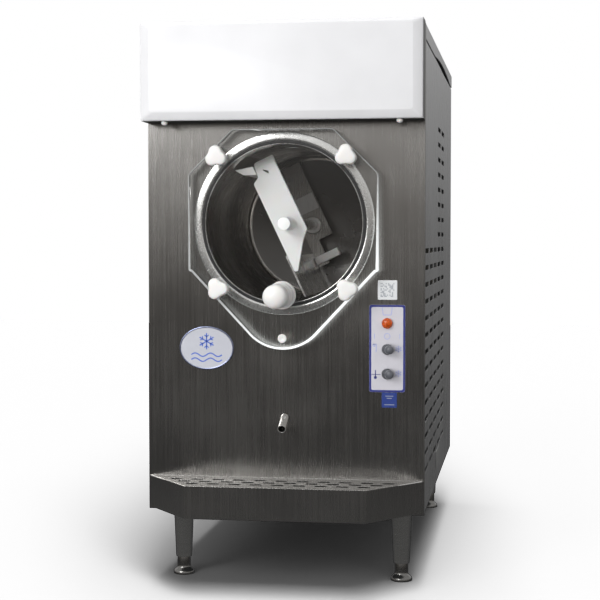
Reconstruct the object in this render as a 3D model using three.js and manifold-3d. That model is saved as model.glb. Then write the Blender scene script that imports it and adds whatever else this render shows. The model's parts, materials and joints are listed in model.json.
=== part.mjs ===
import * as THREE from 'three';
import { ConvexGeometry } from 'three/addons/geometries/ConvexGeometry.js';
import { mergeVertices } from 'three/addons/utils/BufferGeometryUtils.js';
import Module from 'manifold-3d';

// A countertop frozen drink machine with one horizontal freezing cylinder: a stainless cabinet on four
// adjustable legs, a blank sign box across the top of its front, a clear faceplate with a dispensing
// valve, a beater that turns in the cylinder, and the mix hopper, drive and refrigeration inside.
//
// Units are millimetres. +X is to the right of someone who faces the machine, +Y runs from its front to
// its back and +Z is up. The origin is on the surface it stands on, in the middle of its bounding box.

// Driving dimensions
const WIDTH = 390;
const DEPTH = 700;
const CABINET_HEIGHT = 678;
const LEG_HEIGHT = 105;
const SHEET = 1.5;
const GAP = 0.3;
const RUNNING_GAP = 0.3;

const VALVE_REACH = 98; // from the front panel to the tip of the dispensing knob
const GLAND_REACH = 12; // how far the cable gland stands out of the rear panel

const CYLINDER_AXIS_HEIGHT = 404; // above the underside of the cabinet
const CYLINDER_RADIUS = 110; // of the bore
const CYLINDER_LENGTH = 320;
const CYLINDER_WALL = 1.5;
const FLANGE_RADIUS = 127;
const FLANGE_THICKNESS = 5.7;

const FACEPLATE_THICKNESS = 16;
const STUD_OFFSET = 90; // of each faceplate stud from the cylinder's axis, across and up
const STUD_RADIUS = 4;
const KNOB_LENGTH = 23;
const KNOB_GRIP = 15; // length of stud inside a knob

const VALVE_HEIGHT = -99; // relative to the cylinder's axis
const VALVE_BORE = 9;

const SHAFT_RADIUS = 8;
const BEATER_TILT = THREE.MathUtils.degToRad(25.5);
const BEATER_HALF_WIDTH = 21;
const BEATER_REACH = 100; // from the axis to the end of a beater plate

const RETURN_DEPTH = 14; // of the folded sides of the front panel
const SIDE_INSET = 0.8; // side panels lie this far inside the front panel's folded sides
const LID_HEIGHT = 20.5;
const RIM_HEIGHT = CABINET_HEIGHT - LID_HEIGHT - 2.5; // top edge of the side and rear panels

const HEADER_REACH = 48;
const HEADER_BOTTOM = 545;
const HEADER_TOP = 680;

const TRAY_REACH = 90;
const TRAY_FRONT_HALF_WIDTH = 124.7;
const TRAY_BOTTOM = 3;
const TRAY_TOP = 48;

const LEG_OFFSET = 159; // from the middle plane
const LEG_SETBACK = { front: 60, rear: 45 }; // from the front and rear panels
const PAN_HEIGHT = 30;

const FRONT = -(DEPTH + GLAND_REACH - VALVE_REACH) / 2;

const COARSE = 20; // sides of a small round piece
const FINE = 44; // sides of a large round piece

// Materials
function finish(color, roughness, metalness, opacity = 1) {
  return new THREE.MeshStandardMaterial({ color, roughness, metalness, opacity, transparent: opacity < 1 });
}

const STAINLESS = finish(0x8d8b87, 0.35, 1);
const BRIGHT_STEEL = finish(0xc9c9c6, 0.2, 1);
const GALVANISED = finish(0x9aa0a2, 0.5, 1);
const COPPER = finish(0xb56b45, 0.35, 1);
const WHITE_ENAMEL = finish(0xf2f2f2, 0.4, 0);
const WHITE_PLASTIC = finish(0xf4f3f0, 0.35, 0);
const CLEAR_PLASTIC = finish(0xe8eef0, 0.05, 0, 0.25);
const BLACK_RUBBER = finish(0x161616, 0.8, 0);
const GREY_RUBBER = finish(0x55585c, 0.6, 0);
const BLACK_PAINT = finish(0x1b1c1e, 0.5, 0.2);
const GREY_PAINT = finish(0x6c7075, 0.5, 0.2);
const FOAM = finish(0xd8c48c, 0.9, 0);
const AMBER = finish(0xe06a10, 0.2, 0);
const BLUE_PRINT = finish(0x2a3f8f, 0.5, 0);

// Solids
const wasm = await Module();
wasm.setup();

function solid(geometry) {
  const bare = geometry.clone();
  bare.deleteAttribute('normal');
  bare.deleteAttribute('uv');
  const merged = mergeVertices(bare, 1e-4);
  const vertProperties = new Float32Array(merged.attributes.position.array);
  const triVerts = new Uint32Array(merged.index.array);
  return new wasm.Manifold(new wasm.Mesh({ numProp: 3, vertProperties, triVerts }));
}

function geometryOf(manifold) {
  const mesh = manifold.getMesh();
  const positions = new Float32Array(mesh.numVert * 3);
  for (let i = 0; i < mesh.numVert; i++) {
    const start = i * mesh.numProp;
    positions.set(mesh.vertProperties.subarray(start, start + 3), i * 3);
  }
  const geometry = new THREE.BufferGeometry();
  geometry.setAttribute('position', new THREE.BufferAttribute(positions, 3));
  geometry.setIndex(new THREE.BufferAttribute(mesh.triVerts, 1));
  geometry.computeVertexNormals();
  return geometry;
}

function join(...solids) {
  return solids.reduce((whole, piece) => whole.add(piece));
}

function cut(body, ...tools) {
  return tools.reduce((rest, tool) => rest.subtract(tool), body);
}

// A block between two limits on each axis.
function block([x0, x1], [y0, y1], [z0, z1]) {
  const geometry = new THREE.BoxGeometry(x1 - x0, y1 - y0, z1 - z0);
  geometry.translate((x0 + x1) / 2, (y0 + y1) / 2, (z0 + z1) / 2);
  return solid(geometry);
}

// A block that narrows from one rectangle in X and Z to another in front of it.
function tapered(back, front) {
  const corners = [back, front].flatMap(({ x: [x0, x1], y, z: [z0, z1] }) => [
    new THREE.Vector3(x0, y, z0),
    new THREE.Vector3(x1, y, z0),
    new THREE.Vector3(x1, y, z1),
    new THREE.Vector3(x0, y, z1),
  ]);
  return solid(new ConvexGeometry(corners));
}

// A profile of [radius, distance along the axis] points turned about an axis along Y.
function turnedAlongY(profile, sides = COARSE, x = 0, z = 0) {
  const geometry = new THREE.LatheGeometry(profile.map(([r, y]) => new THREE.Vector2(r, y)), sides);
  geometry.translate(x, 0, z);
  return solid(geometry);
}

// The same about an axis along Z.
function turnedAlongZ(profile, sides = COARSE, x = 0, y = 0) {
  const geometry = new THREE.LatheGeometry(profile.map(([r, z]) => new THREE.Vector2(r, z)), sides);
  geometry.rotateX(Math.PI / 2);
  geometry.translate(x, y, 0);
  return solid(geometry);
}

function rodAlongY(radius, [y0, y1], x = 0, z = 0, sides = COARSE) {
  return turnedAlongY([[0, y0], [radius, y0], [radius, y1], [0, y1]], sides, x, z);
}

function rodAlongZ(radius, [z0, z1], x = 0, y = 0, sides = COARSE) {
  return turnedAlongZ([[0, z0], [radius, z0], [radius, z1], [0, z1]], sides, x, y);
}

function ringAlongY(inner, outer, [y0, y1], sides = COARSE) {
  return turnedAlongY([[inner, y0], [outer, y0], [outer, y1], [inner, y1], [inner, y0]], sides);
}

const UPRIGHT = new THREE.Matrix4().makeBasis(
  new THREE.Vector3(1, 0, 0),
  new THREE.Vector3(0, 0, 1),
  new THREE.Vector3(0, -1, 0),
);
const SIDEWAYS = new THREE.Matrix4().makeBasis(
  new THREE.Vector3(0, 1, 0),
  new THREE.Vector3(0, 0, 1),
  new THREE.Vector3(1, 0, 0),
);

function extruded(shape, depth, curveSegments) {
  return new THREE.ExtrudeGeometry(shape, { depth, curveSegments, bevelEnabled: false });
}

// A shape drawn in X and Z, filled between two Y limits.
function wall(shape, [y0, y1], curveSegments = 8) {
  const geometry = extruded(shape, y1 - y0, curveSegments);
  geometry.applyMatrix4(UPRIGHT);
  geometry.translate(0, y1, 0);
  return solid(geometry);
}

// A shape drawn in Y and Z, filled between two X limits.
function sideWall(shape, [x0, x1], curveSegments = 8) {
  const geometry = extruded(shape, x1 - x0, curveSegments);
  geometry.applyMatrix4(SIDEWAYS);
  geometry.translate(x0, 0, 0);
  return solid(geometry);
}

// A shape drawn in X and Y, filled between two Z limits.
function slab(shape, [z0, z1]) {
  const geometry = extruded(shape, z1 - z0, 8);
  geometry.translate(0, 0, z0);
  return solid(geometry);
}

function polygon(points) {
  return new THREE.Shape(points.map(([a, b]) => new THREE.Vector2(a, b)));
}

function rectangle([a0, a1], [b0, b1]) {
  return polygon([[a0, b0], [a1, b0], [a1, b1], [a0, b1]]);
}

function roundedRectangle(width, height, radius) {
  const shape = new THREE.Shape();
  const a = width / 2 - radius;
  const b = height / 2 - radius;
  shape.absarc(a, b, radius, 0, Math.PI / 2);
  shape.absarc(-a, b, radius, Math.PI / 2, Math.PI);
  shape.absarc(-a, -b, radius, Math.PI, Math.PI * 1.5);
  shape.absarc(a, -b, radius, Math.PI * 1.5, Math.PI * 2);
  return shape;
}

// Each group is placed once, and its pieces are modelled in its own frame.
const machine = new THREE.Group();

function group(parent, x, y, z) {
  const made = new THREE.Group();
  made.position.set(x, y, z);
  parent.add(made);
  return made;
}

function add(parent, name, manifold, material, x = 0, y = 0, z = 0) {
  const mesh = new THREE.Mesh(geometryOf(manifold), material);
  mesh.name = name;
  mesh.position.set(x, y, z);
  parent.add(mesh);
}

// y is 0 on the face of the front panel, and z is 0 on the underside of the cabinet.
const cabinet = group(machine, 0, FRONT, LEG_HEIGHT);
// z is 0 on the axis of the freezing cylinder.
const freezer = group(cabinet, 0, 0, CYLINDER_AXIS_HEIGHT);

const HALF_WIDTH = WIDTH / 2;
const SIDE_FACE = HALF_WIDTH - SIDE_INSET; // outer face of a side panel
const INSIDE = SIDE_FACE - SHEET; // inner face of a side panel

// Places of what passes through the front panel
const DRAIN_HEIGHT = 133;
const CONTROL_X = 143.5;
const CONTROL_HEIGHT = 231;
const LAMP_RISE = 35;
const TOGGLE_RISES = { beater_toggle: -1, freeze_toggle: -35 };
const BUSHING_RADIUS = 5.8;
const LAMP_STEM_RADIUS = 5;
const FRONT_FACE = -GAP; // back of anything that lies on the front panel
const FACEPLATE_BACK = -(GAP + FLANGE_THICKNESS + 3 * GAP);
const FACEPLATE_FRONT = FACEPLATE_BACK - FACEPLATE_THICKNESS;
// Each knob has been screwed up to its own turn: lobe is the direction of one of its lobes, in degrees.
const STUDS = [
  { x: -1, z: 1, name: 'top_left', lobe: 95 },
  { x: 1, z: 1, name: 'top_right', lobe: 90 },
  { x: -1, z: -1, name: 'bottom_left', lobe: 0 },
  { x: 1, z: -1, name: 'bottom_right', lobe: 10 },
];

function studRods(radius, limits, height = 0) {
  return STUDS.map(({ x, z }) => rodAlongY(radius, limits, x * STUD_OFFSET, height + z * STUD_OFFSET, 16));
}

// ---- Cabinet ----

const GLAND_X = -150;
const GLAND_HEIGHT = 335;
const GLAND_RADIUS = 8.7;
const LEG_STUD_RADIUS = 5;

function basePan() {
  const [front, back] = [SHEET + GAP, DEPTH - SHEET - GAP];
  const half = INSIDE - GAP;
  const tub = cut(
    block([-half, half], [front, back], [0, PAN_HEIGHT]),
    block([-half + SHEET, half - SHEET], [front + SHEET, back - SHEET], [SHEET, PAN_HEIGHT + 1]),
  );
  const holes = [];
  for (const x of [-LEG_OFFSET, LEG_OFFSET]) {
    for (const y of [LEG_SETBACK.front, DEPTH - LEG_SETBACK.rear]) {
      holes.push(rodAlongZ(LEG_STUD_RADIUS + GAP, [-1, SHEET + 1], x, y, 12));
    }
  }
  return cut(tub, ...holes);
}

function frontPanel() {
  const through = [-1, SHEET + 1];
  const sheet = block([-HALF_WIDTH, HALF_WIDTH], [0, SHEET], [0, CABINET_HEIGHT]);
  const leftReturn = block([-HALF_WIDTH, SHEET - HALF_WIDTH], [0, RETURN_DEPTH], [0, CABINET_HEIGHT]);
  const rightReturn = block([HALF_WIDTH - SHEET, HALF_WIDTH], [0, RETURN_DEPTH], [0, CABINET_HEIGHT]);
  const controlHoles = Object.values(TOGGLE_RISES).map((rise) =>
    rodAlongY(BUSHING_RADIUS + GAP, through, CONTROL_X, CONTROL_HEIGHT + rise, 16));
  return cut(
    join(sheet, leftReturn, rightReturn),
    rodAlongY(CYLINDER_RADIUS + CYLINDER_WALL + 1, through, 0, CYLINDER_AXIS_HEIGHT, FINE),
    ...studRods(STUD_RADIUS + 1, through, CYLINDER_AXIS_HEIGHT),
    rodAlongY(DRAIN_RADIUS + 0.8, through, 0, DRAIN_HEIGHT, 16),
    rodAlongY(LAMP_STEM_RADIUS + GAP, through, CONTROL_X, CONTROL_HEIGHT + LAMP_RISE, 16),
    ...controlHoles,
  );
}

// Vent slots: rows of short slots, of which the upper rows have only the rear columns.
const SLOT_HEIGHT = 7;
const SIDE_SLOT = { length: 72, firstY: 62, pitchY: 95, columns: 5, rearColumns: 2 };
const SIDE_ROWS = { firstZ: 57.5, pitchZ: 23.7, full: 14, short: 8 };

function sideSlotCentres() {
  const centres = [];
  for (let row = 0; row < SIDE_ROWS.full + SIDE_ROWS.short; row++) {
    const first = row < SIDE_ROWS.full ? 0 : SIDE_SLOT.columns - SIDE_SLOT.rearColumns;
    for (let column = first; column < SIDE_SLOT.columns; column++) {
      centres.push([
        SIDE_SLOT.firstY + column * SIDE_SLOT.pitchY,
        SIDE_ROWS.firstZ + row * SIDE_ROWS.pitchZ,
      ]);
    }
  }
  return centres;
}

function sidePanel(side) {
  const [inner, outer] = [side * INSIDE, side * SIDE_FACE];
  const limits = [Math.min(inner, outer), Math.max(inner, outer)];
  const sheet = block(limits, [RETURN_DEPTH + GAP, DEPTH], [0, RIM_HEIGHT]);
  const slots = sideSlotCentres().map(([y, z]) => block(
    [limits[0] - 1, limits[1] + 1],
    [y - SIDE_SLOT.length / 2, y + SIDE_SLOT.length / 2],
    [z - SLOT_HEIGHT / 2, z + SLOT_HEIGHT / 2],
  ));
  return cut(sheet, ...slots);
}

const REAR_SLOT = { length: 42, pitchX: 62, columns: 5, firstZ: 45, pitchZ: 23.7, rows: 10 };

function rearPanel() {
  const half = INSIDE - GAP;
  const through = [DEPTH - SHEET - 1, DEPTH + 1];
  const slots = [];
  for (let row = 0; row < REAR_SLOT.rows; row++) {
    for (let column = 0; column < REAR_SLOT.columns; column++) {
      const x = (column - (REAR_SLOT.columns - 1) / 2) * REAR_SLOT.pitchX;
      const z = REAR_SLOT.firstZ + row * REAR_SLOT.pitchZ;
      slots.push(block(
        [x - REAR_SLOT.length / 2, x + REAR_SLOT.length / 2],
        through,
        [z - SLOT_HEIGHT / 2, z + SLOT_HEIGHT / 2],
      ));
    }
  }
  return cut(
    block([-half, half], [DEPTH - SHEET, DEPTH], [0, RIM_HEIGHT]),
    rodAlongY(GLAND_RADIUS + GAP, through, GLAND_X, GLAND_HEIGHT, 16),
    ...slots,
  );
}

// The lid's skirt has a shallow arched finger grip along each side.
function topLid() {
  const bottom = CABINET_HEIGHT - LID_HEIGHT;
  const [front, back] = [RETURN_DEPTH + GAP, DEPTH];
  const shell = cut(
    block([-HALF_WIDTH, HALF_WIDTH], [front, back], [bottom, CABINET_HEIGHT]),
    block(
      [-HALF_WIDTH + SHEET, HALF_WIDTH - SHEET],
      [front + SHEET, back - SHEET],
      [bottom - 1, CABINET_HEIGHT - SHEET],
    ),
  );
  const grip = { middle: 430, halfLength: 225, rise: 8 };
  const arch = new THREE.Shape();
  arch.moveTo(grip.middle - grip.halfLength, bottom - 1);
  arch.quadraticCurveTo(
    grip.middle, bottom + 2 * grip.rise,
    grip.middle + grip.halfLength, bottom - 1,
  );
  return cut(shell, sideWall(arch, [-WIDTH, WIDTH], 16));
}

const DRAIN_RADIUS = 6;
const DRAIN_WALL = 1;

// A bent tube: level through the panel, then sloping down to its open mouth.
function drainTube() {
  const ring = new THREE.Shape().absarc(0, 0, DRAIN_RADIUS, 0, 2 * Math.PI);
  ring.holes.push(new THREE.Path().absarc(0, 0, DRAIN_RADIUS - DRAIN_WALL, 0, 2 * Math.PI));
  const pointAt = (y, drop) => new THREE.Vector3(0, y, DRAIN_HEIGHT - drop);
  const tail = pointAt(50, 0);
  const bend = [pointAt(-2, 0), pointAt(-7, 0), pointAt(-11.5, 2.2)];
  const mouth = pointAt(-28, 11);
  const path = new THREE.CurvePath();
  path.add(new THREE.LineCurve3(tail, bend[0]));
  path.add(new THREE.QuadraticBezierCurve3(...bend));
  path.add(new THREE.LineCurve3(bend[2], mouth));
  return solid(new THREE.ExtrudeGeometry(ring, { steps: 14, curveSegments: 4, extrudePath: path }));
}

add(cabinet, 'base_pan', basePan(), GALVANISED);
add(cabinet, 'front_panel', frontPanel(), STAINLESS);
add(cabinet, 'left_panel', sidePanel(-1), STAINLESS);
add(cabinet, 'right_panel', sidePanel(1), STAINLESS);
add(cabinet, 'rear_panel', rearPanel(), STAINLESS);
add(cabinet, 'top_lid', topLid(), STAINLESS);
add(cabinet, 'drain_tube', drainTube(), BRIGHT_STEEL);

// ---- Sign box across the top of the front ----

const HEADER_WALL = 2;
const SIGN = { depth: 8, sideBorder: 13, bottomBorder: 11, topBorder: 5, thickness: 2 };
const HEADER_SCREW = { x: 163, y: -34, headRadius: 4.5, headHeight: 5.5, shankRadius: 2 };

// Four walls, open to the front panel behind and closed by the sign in front.
function headerShell() {
  const depth = [SIGN.depth - HEADER_REACH, FRONT_FACE];
  const shell = cut(
    block([-HALF_WIDTH, HALF_WIDTH], depth, [HEADER_BOTTOM, HEADER_TOP]),
    block(
      [HEADER_WALL - HALF_WIDTH, HALF_WIDTH - HEADER_WALL],
      [-HEADER_REACH, 1],
      [HEADER_BOTTOM + HEADER_WALL, HEADER_TOP - HEADER_WALL],
    ),
  );
  const holes = [-1, 1].map((side) => rodAlongZ(
    HEADER_SCREW.shankRadius + GAP,
    [HEADER_BOTTOM - 1, HEADER_BOTTOM + HEADER_WALL + 1],
    side * HEADER_SCREW.x, HEADER_SCREW.y, 12,
  ));
  return cut(shell, ...holes);
}

// A blank moulded face with sloping borders round a raised field.
function headerSign() {
  const margin = 0.5;
  const rim = { x: HALF_WIDTH - margin, bottom: HEADER_BOTTOM + margin, top: HEADER_TOP - margin };
  const field = {
    x: HALF_WIDTH - SIGN.sideBorder,
    bottom: HEADER_BOTTOM + SIGN.bottomBorder,
    top: HEADER_TOP - SIGN.topBorder,
  };
  const rectangleAt = ({ x, bottom, top }, y, shrink = 0) => (
    { x: [shrink - x, x - shrink], y, z: [bottom + shrink, top - shrink] }
  );
  const back = SIGN.depth - HEADER_REACH - GAP;
  return cut(
    tapered(rectangleAt(rim, back), rectangleAt(field, -HEADER_REACH)),
    tapered(
      rectangleAt(rim, back + 1, 2 * SIGN.thickness),
      rectangleAt(field, SIGN.thickness - HEADER_REACH, SIGN.thickness),
    ),
  );
}

function headerScrew() {
  const { headRadius, headHeight, shankRadius } = HEADER_SCREW;
  return turnedAlongZ([
    [0, -headHeight - GAP],
    [headRadius * 0.7, -headHeight - GAP],
    [headRadius, -headHeight + 1],
    [headRadius, -GAP],
    [shankRadius, -GAP],
    [shankRadius, HEADER_WALL + 3],
    [0, HEADER_WALL + 3],
  ], 16);
}

add(cabinet, 'header_shell', headerShell(), WHITE_ENAMEL);
add(cabinet, 'header_sign', headerSign(), WHITE_PLASTIC);
for (const [side, name] of [[-1, 'header_screw_left'], [1, 'header_screw_right']]) {
  add(cabinet, name, headerScrew(), WHITE_PLASTIC, side * HEADER_SCREW.x, HEADER_SCREW.y, HEADER_BOTTOM);
}

// ---- Mix hopper under the lid ----

const FEED_Y = 85;
const FEED_RADIUS = 9.5;
const HOPPER_FLOOR = 558;

function mixHopper() {
  const [halfWidth, front, back] = [160, 50, 370];
  const rim = { halfWidth: SIDE_FACE - GAP, front: 30, back: 390, height: RIM_HEIGHT + GAP };
  return cut(
    join(
      block([-halfWidth, halfWidth], [front, back], [HOPPER_FLOOR, rim.height + SHEET]),
      block([-rim.halfWidth, rim.halfWidth], [rim.front, rim.back], [rim.height, rim.height + SHEET]),
    ),
    block(
      [-halfWidth + SHEET, halfWidth - SHEET],
      [front + SHEET, back - SHEET],
      [HOPPER_FLOOR + SHEET, CABINET_HEIGHT],
    ),
    rodAlongZ(FEED_RADIUS + GAP, [HOPPER_FLOOR - 1, HOPPER_FLOOR + SHEET + 1], 0, FEED_Y, 20),
  );
}

// Mix runs in through a hole near the hopper floor, and air comes down the open top.
function feedTube() {
  const bottom = CYLINDER_AXIS_HEIGHT + CYLINDER_RADIUS + GAP;
  const top = HOPPER_FLOOR + 55;
  const bore = FEED_RADIUS - 2;
  const mixHole = rodAlongY(3, [FEED_Y - 2 * FEED_RADIUS, FEED_Y], 0, HOPPER_FLOOR + 12, 12);
  const tube = turnedAlongZ([
    [bore, bottom], [FEED_RADIUS, bottom], [FEED_RADIUS, top], [bore, top], [bore, bottom],
  ], 20, 0, FEED_Y);
  return cut(tube, mixHole);
}

add(cabinet, 'mix_hopper', mixHopper(), BRIGHT_STEEL);
add(cabinet, 'feed_tube', feedTube(), WHITE_PLASTIC);

// ---- Freezing cylinder ----

const GROOVE = { inner: 112, outer: 115.5, depth: 4.2 };
const SHAFT_HOLE = 12;
const COIL = { radius: 118.4, tube: 4, start: 118, end: 300, turns: 5, stepsPerTurn: 16 };
const JACKET = { inner: 123.5, outer: 150, front: 8, back: 318 };
const STUD_PLATE = { front: SHEET + GAP, thickness: 4, halfSize: 115 };

function freezingCylinder() {
  const front = -GAP - FLANGE_THICKNESS;
  const outer = CYLINDER_RADIUS + CYLINDER_WALL;
  const body = turnedAlongY([
    [CYLINDER_RADIUS, front],
    [GROOVE.inner, front],
    [GROOVE.inner, front + GROOVE.depth],
    [GROOVE.outer, front + GROOVE.depth],
    [GROOVE.outer, front],
    [FLANGE_RADIUS, front],
    [FLANGE_RADIUS, -GAP],
    [outer, -GAP],
    [outer, CYLINDER_LENGTH + 3],
    [SHAFT_HOLE, CYLINDER_LENGTH + 3],
    [SHAFT_HOLE, CYLINDER_LENGTH],
    [CYLINDER_RADIUS, CYLINDER_LENGTH],
    [CYLINDER_RADIUS, front],
  ], FINE);
  const feedHole = rodAlongZ(FEED_RADIUS + GAP, [CYLINDER_RADIUS - 8, CYLINDER_RADIUS + 8], 0, FEED_Y, 20);
  return cut(body, feedHole, ...studRods(STUD_RADIUS + 1, [front - 1, 0]));
}

function faceplateGasket() {
  const front = -GAP - FLANGE_THICKNESS;
  const limits = [front - 2 * GAP, front + GROOVE.depth - GAP];
  return ringAlongY(GROOVE.inner + GAP, GROOVE.outer - GAP, limits, FINE);
}

function evaporatorCoil() {
  const steps = COIL.turns * COIL.stepsPerTurn;
  const points = [];
  for (let i = 0; i <= steps; i++) {
    const angle = (i / steps) * COIL.turns * 2 * Math.PI;
    points.push(new THREE.Vector3(
      COIL.radius * Math.sin(angle),
      THREE.MathUtils.lerp(COIL.start, COIL.end, i / steps),
      COIL.radius * Math.cos(angle),
    ));
  }
  const section = new THREE.Shape().absarc(0, 0, COIL.tube, 0, 2 * Math.PI);
  const extrudePath = new THREE.CatmullRomCurve3(points);
  return solid(new THREE.ExtrudeGeometry(section, { steps, curveSegments: 3, extrudePath }));
}

function insulationJacket() {
  const ring = ringAlongY(JACKET.inner, JACKET.outer, [JACKET.front, JACKET.back], FINE);
  return cut(ring, rodAlongZ(FEED_RADIUS + 2, [JACKET.inner - 8, JACKET.outer + 8], 0, FEED_Y, 20));
}

// A plate behind the front panel holds the four studs that the faceplate hangs on.
function studPlate() {
  const { front, thickness, halfSize } = STUD_PLATE;
  const span = [-halfSize, halfSize];
  const plate = cut(
    block(span, [front, front + thickness], span),
    rodAlongY(CYLINDER_RADIUS + CYLINDER_WALL + 1, [front - 1, front + thickness + 1], 0, 0, FINE),
  );
  const tip = FACEPLATE_FRONT - KNOB_GRIP;
  return join(plate, ...studRods(STUD_RADIUS, [tip, front + thickness]));
}

add(freezer, 'freezing_cylinder', freezingCylinder(), BRIGHT_STEEL);
add(freezer, 'faceplate_gasket', faceplateGasket(), BLACK_RUBBER);
add(freezer, 'evaporator_coil', evaporatorCoil(), COPPER);
add(freezer, 'insulation_jacket', insulationJacket(), FOAM);
add(freezer, 'stud_plate', studPlate(), BRIGHT_STEEL);

// ---- Clear faceplate, its four knobs and the dispensing valve ----

const SLEEVE = { flangeRadius: 19.5, flangeLength: 6.8, bodyRadius: 12.7 };
const SPOUT = { radius: 4.5, y: (FACEPLATE_FRONT + FACEPLATE_BACK) / 2 };
const PLUG = { z: -159, headRadius: 6.2, headLength: 2.2, stemRadius: 3.2, stemLength: 2.4 };

// An octagon-like plate whose lower edge narrows at 45 degrees into a round chin under the valve.
function faceplateOutline() {
  const half = 132.5;
  const top = 130;
  const topHalf = 70.5;
  const lowerCorner = -67;
  const chin = { radius: 64, z: -110.5 };
  const shape = new THREE.Shape();
  shape.moveTo(-topHalf, top);
  shape.lineTo(-half, top - (half - topHalf));
  shape.lineTo(-half, lowerCorner);
  shape.absarc(0, chin.z, chin.radius, Math.PI * 1.25, Math.PI * 1.75);
  shape.lineTo(half, lowerCorner);
  shape.lineTo(half, top - (half - topHalf));
  shape.lineTo(topHalf, top);
  shape.closePath();
  return shape;
}

function faceplate() {
  const through = [FACEPLATE_FRONT - 1, FACEPLATE_BACK + 1];
  const chinBottom = -174.5;
  return cut(
    wall(faceplateOutline(), [FACEPLATE_FRONT, FACEPLATE_BACK], 14),
    ...studRods(STUD_RADIUS + 0.6, through),
    rodAlongY(SLEEVE.bodyRadius + GAP, through, 0, VALVE_HEIGHT),
    rodAlongZ(SPOUT.radius, [chinBottom - 5, VALVE_HEIGHT], 0, SPOUT.y, 16),
    rodAlongY(PLUG.stemRadius + GAP, [FACEPLATE_FRONT - 1, FACEPLATE_FRONT + PLUG.stemLength], 0, PLUG.z, 12),
  );
}

const KNOB = { meanRadius: 13.4, lobeRise: 2.1, lobes: 3, outlineSteps: 36, cap: 6 };

// A knob with three round lobes and a blind threaded hole. Its axis is y, and the hole opens at y = 0.
function faceplateKnob(lobeDirection) {
  const points = [];
  for (let i = 0; i < KNOB.outlineSteps; i++) {
    const angle = (i / KNOB.outlineSteps) * 2 * Math.PI;
    const fromLobe = angle - THREE.MathUtils.degToRad(lobeDirection);
    const radius = KNOB.meanRadius + KNOB.lobeRise * Math.cos(KNOB.lobes * fromLobe);
    points.push([radius * Math.cos(angle), radius * Math.sin(angle)]);
  }
  return cut(
    wall(polygon(points), [-KNOB_LENGTH, 0]),
    rodAlongY(STUD_RADIUS + RUNNING_GAP, [KNOB.cap - KNOB_LENGTH, 1], 0, 0, 16),
  );
}

function valveSleeve() {
  const front = FACEPLATE_FRONT - GAP - SLEEVE.flangeLength;
  const shoulder = FACEPLATE_FRONT - GAP;
  const back = FACEPLATE_BACK - GAP;
  const body = turnedAlongY([
    [VALVE_BORE, front],
    [SLEEVE.flangeRadius - 1.2, front],
    [SLEEVE.flangeRadius, front + 1.2],
    [SLEEVE.flangeRadius, shoulder],
    [SLEEVE.bodyRadius, shoulder],
    [SLEEVE.bodyRadius, back],
    [VALVE_BORE, back],
    [VALVE_BORE, front],
  ], 24);
  return cut(body, rodAlongZ(SPOUT.radius - 0.5, [-SLEEVE.flangeRadius, 0], 0, SPOUT.y, 12));
}

// The pull knob and the stem that closes the bore are one moulding.
function valvePlunger() {
  const knob = { radius: 16.5, back: FACEPLATE_FRONT - 2 * GAP - SLEEVE.flangeLength, dome: 12 };
  const domeStart = -VALVE_REACH + knob.dome;
  const profile = [[0, -VALVE_REACH]];
  for (const angle of [20, 40, 60, 80]) {
    const turn = THREE.MathUtils.degToRad(angle);
    profile.push([knob.radius * Math.sin(turn), domeStart - knob.dome * Math.cos(turn)]);
  }
  profile.push(
    [knob.radius, domeStart],
    [knob.radius, knob.back],
    [VALVE_BORE - RUNNING_GAP, knob.back],
    [VALVE_BORE - RUNNING_GAP, FACEPLATE_BACK - GAP],
    [0, FACEPLATE_BACK - GAP],
  );
  return turnedAlongY(profile, 24);
}

function spoutPlug() {
  const back = FACEPLATE_FRONT - GAP;
  return turnedAlongY([
    [0, back - PLUG.headLength],
    [PLUG.headRadius, back - PLUG.headLength],
    [PLUG.headRadius, back],
    [PLUG.stemRadius, back],
    [PLUG.stemRadius, back + PLUG.stemLength],
    [0, back + PLUG.stemLength],
  ], 20);
}

add(freezer, 'faceplate', faceplate(), CLEAR_PLASTIC);
add(freezer, 'valve_sleeve', valveSleeve(), WHITE_PLASTIC, 0, 0, VALVE_HEIGHT);
add(freezer, 'valve_plunger', valvePlunger(), WHITE_PLASTIC, 0, 0, VALVE_HEIGHT);
add(freezer, 'spout_plug', spoutPlug(), WHITE_PLASTIC, 0, 0, PLUG.z);
for (const { x, z, name, lobe } of STUDS) {
  const back = FACEPLATE_FRONT - GAP;
  add(freezer, 'knob_' + name, faceplateKnob(lobe), WHITE_PLASTIC, x * STUD_OFFSET, back, z * STUD_OFFSET);
}

// ---- Beater ----

// The beater's own frame leans with it: across runs over its plates, along runs down them from the axis.
function beaterPoint(across, along) {
  const [sin, cos] = [Math.sin(BEATER_TILT), Math.cos(BEATER_TILT)];
  return [across * cos + along * sin, across * sin - along * cos];
}

function beaterShape(points) {
  return polygon(points.map(([across, along]) => beaterPoint(across, along)));
}

const PLATE_FRONT = 37;
const PLATE_BACK = 45;
const REAR_PLATE_FRONT = 292;
const REAR_PLATE_BACK = 297;
const HUB_RADIUS = 14;
const NOSE_RADIUS = 9.5;
const SCRAPER_REACH = 107;

// A plate across the cylinder, tapered below the axis, with a step at its upper left for the scraper.
const PLATE_OUTLINE = [
  [-9, -BEATER_REACH],
  [20.5, -BEATER_REACH],
  [BEATER_HALF_WIDTH, 17.5],
  [8, 31],
  [-16.5, 66],
  [-BEATER_HALF_WIDTH, 65.5],
  [-BEATER_HALF_WIDTH, -72],
  [-11, -77.5],
];

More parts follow.
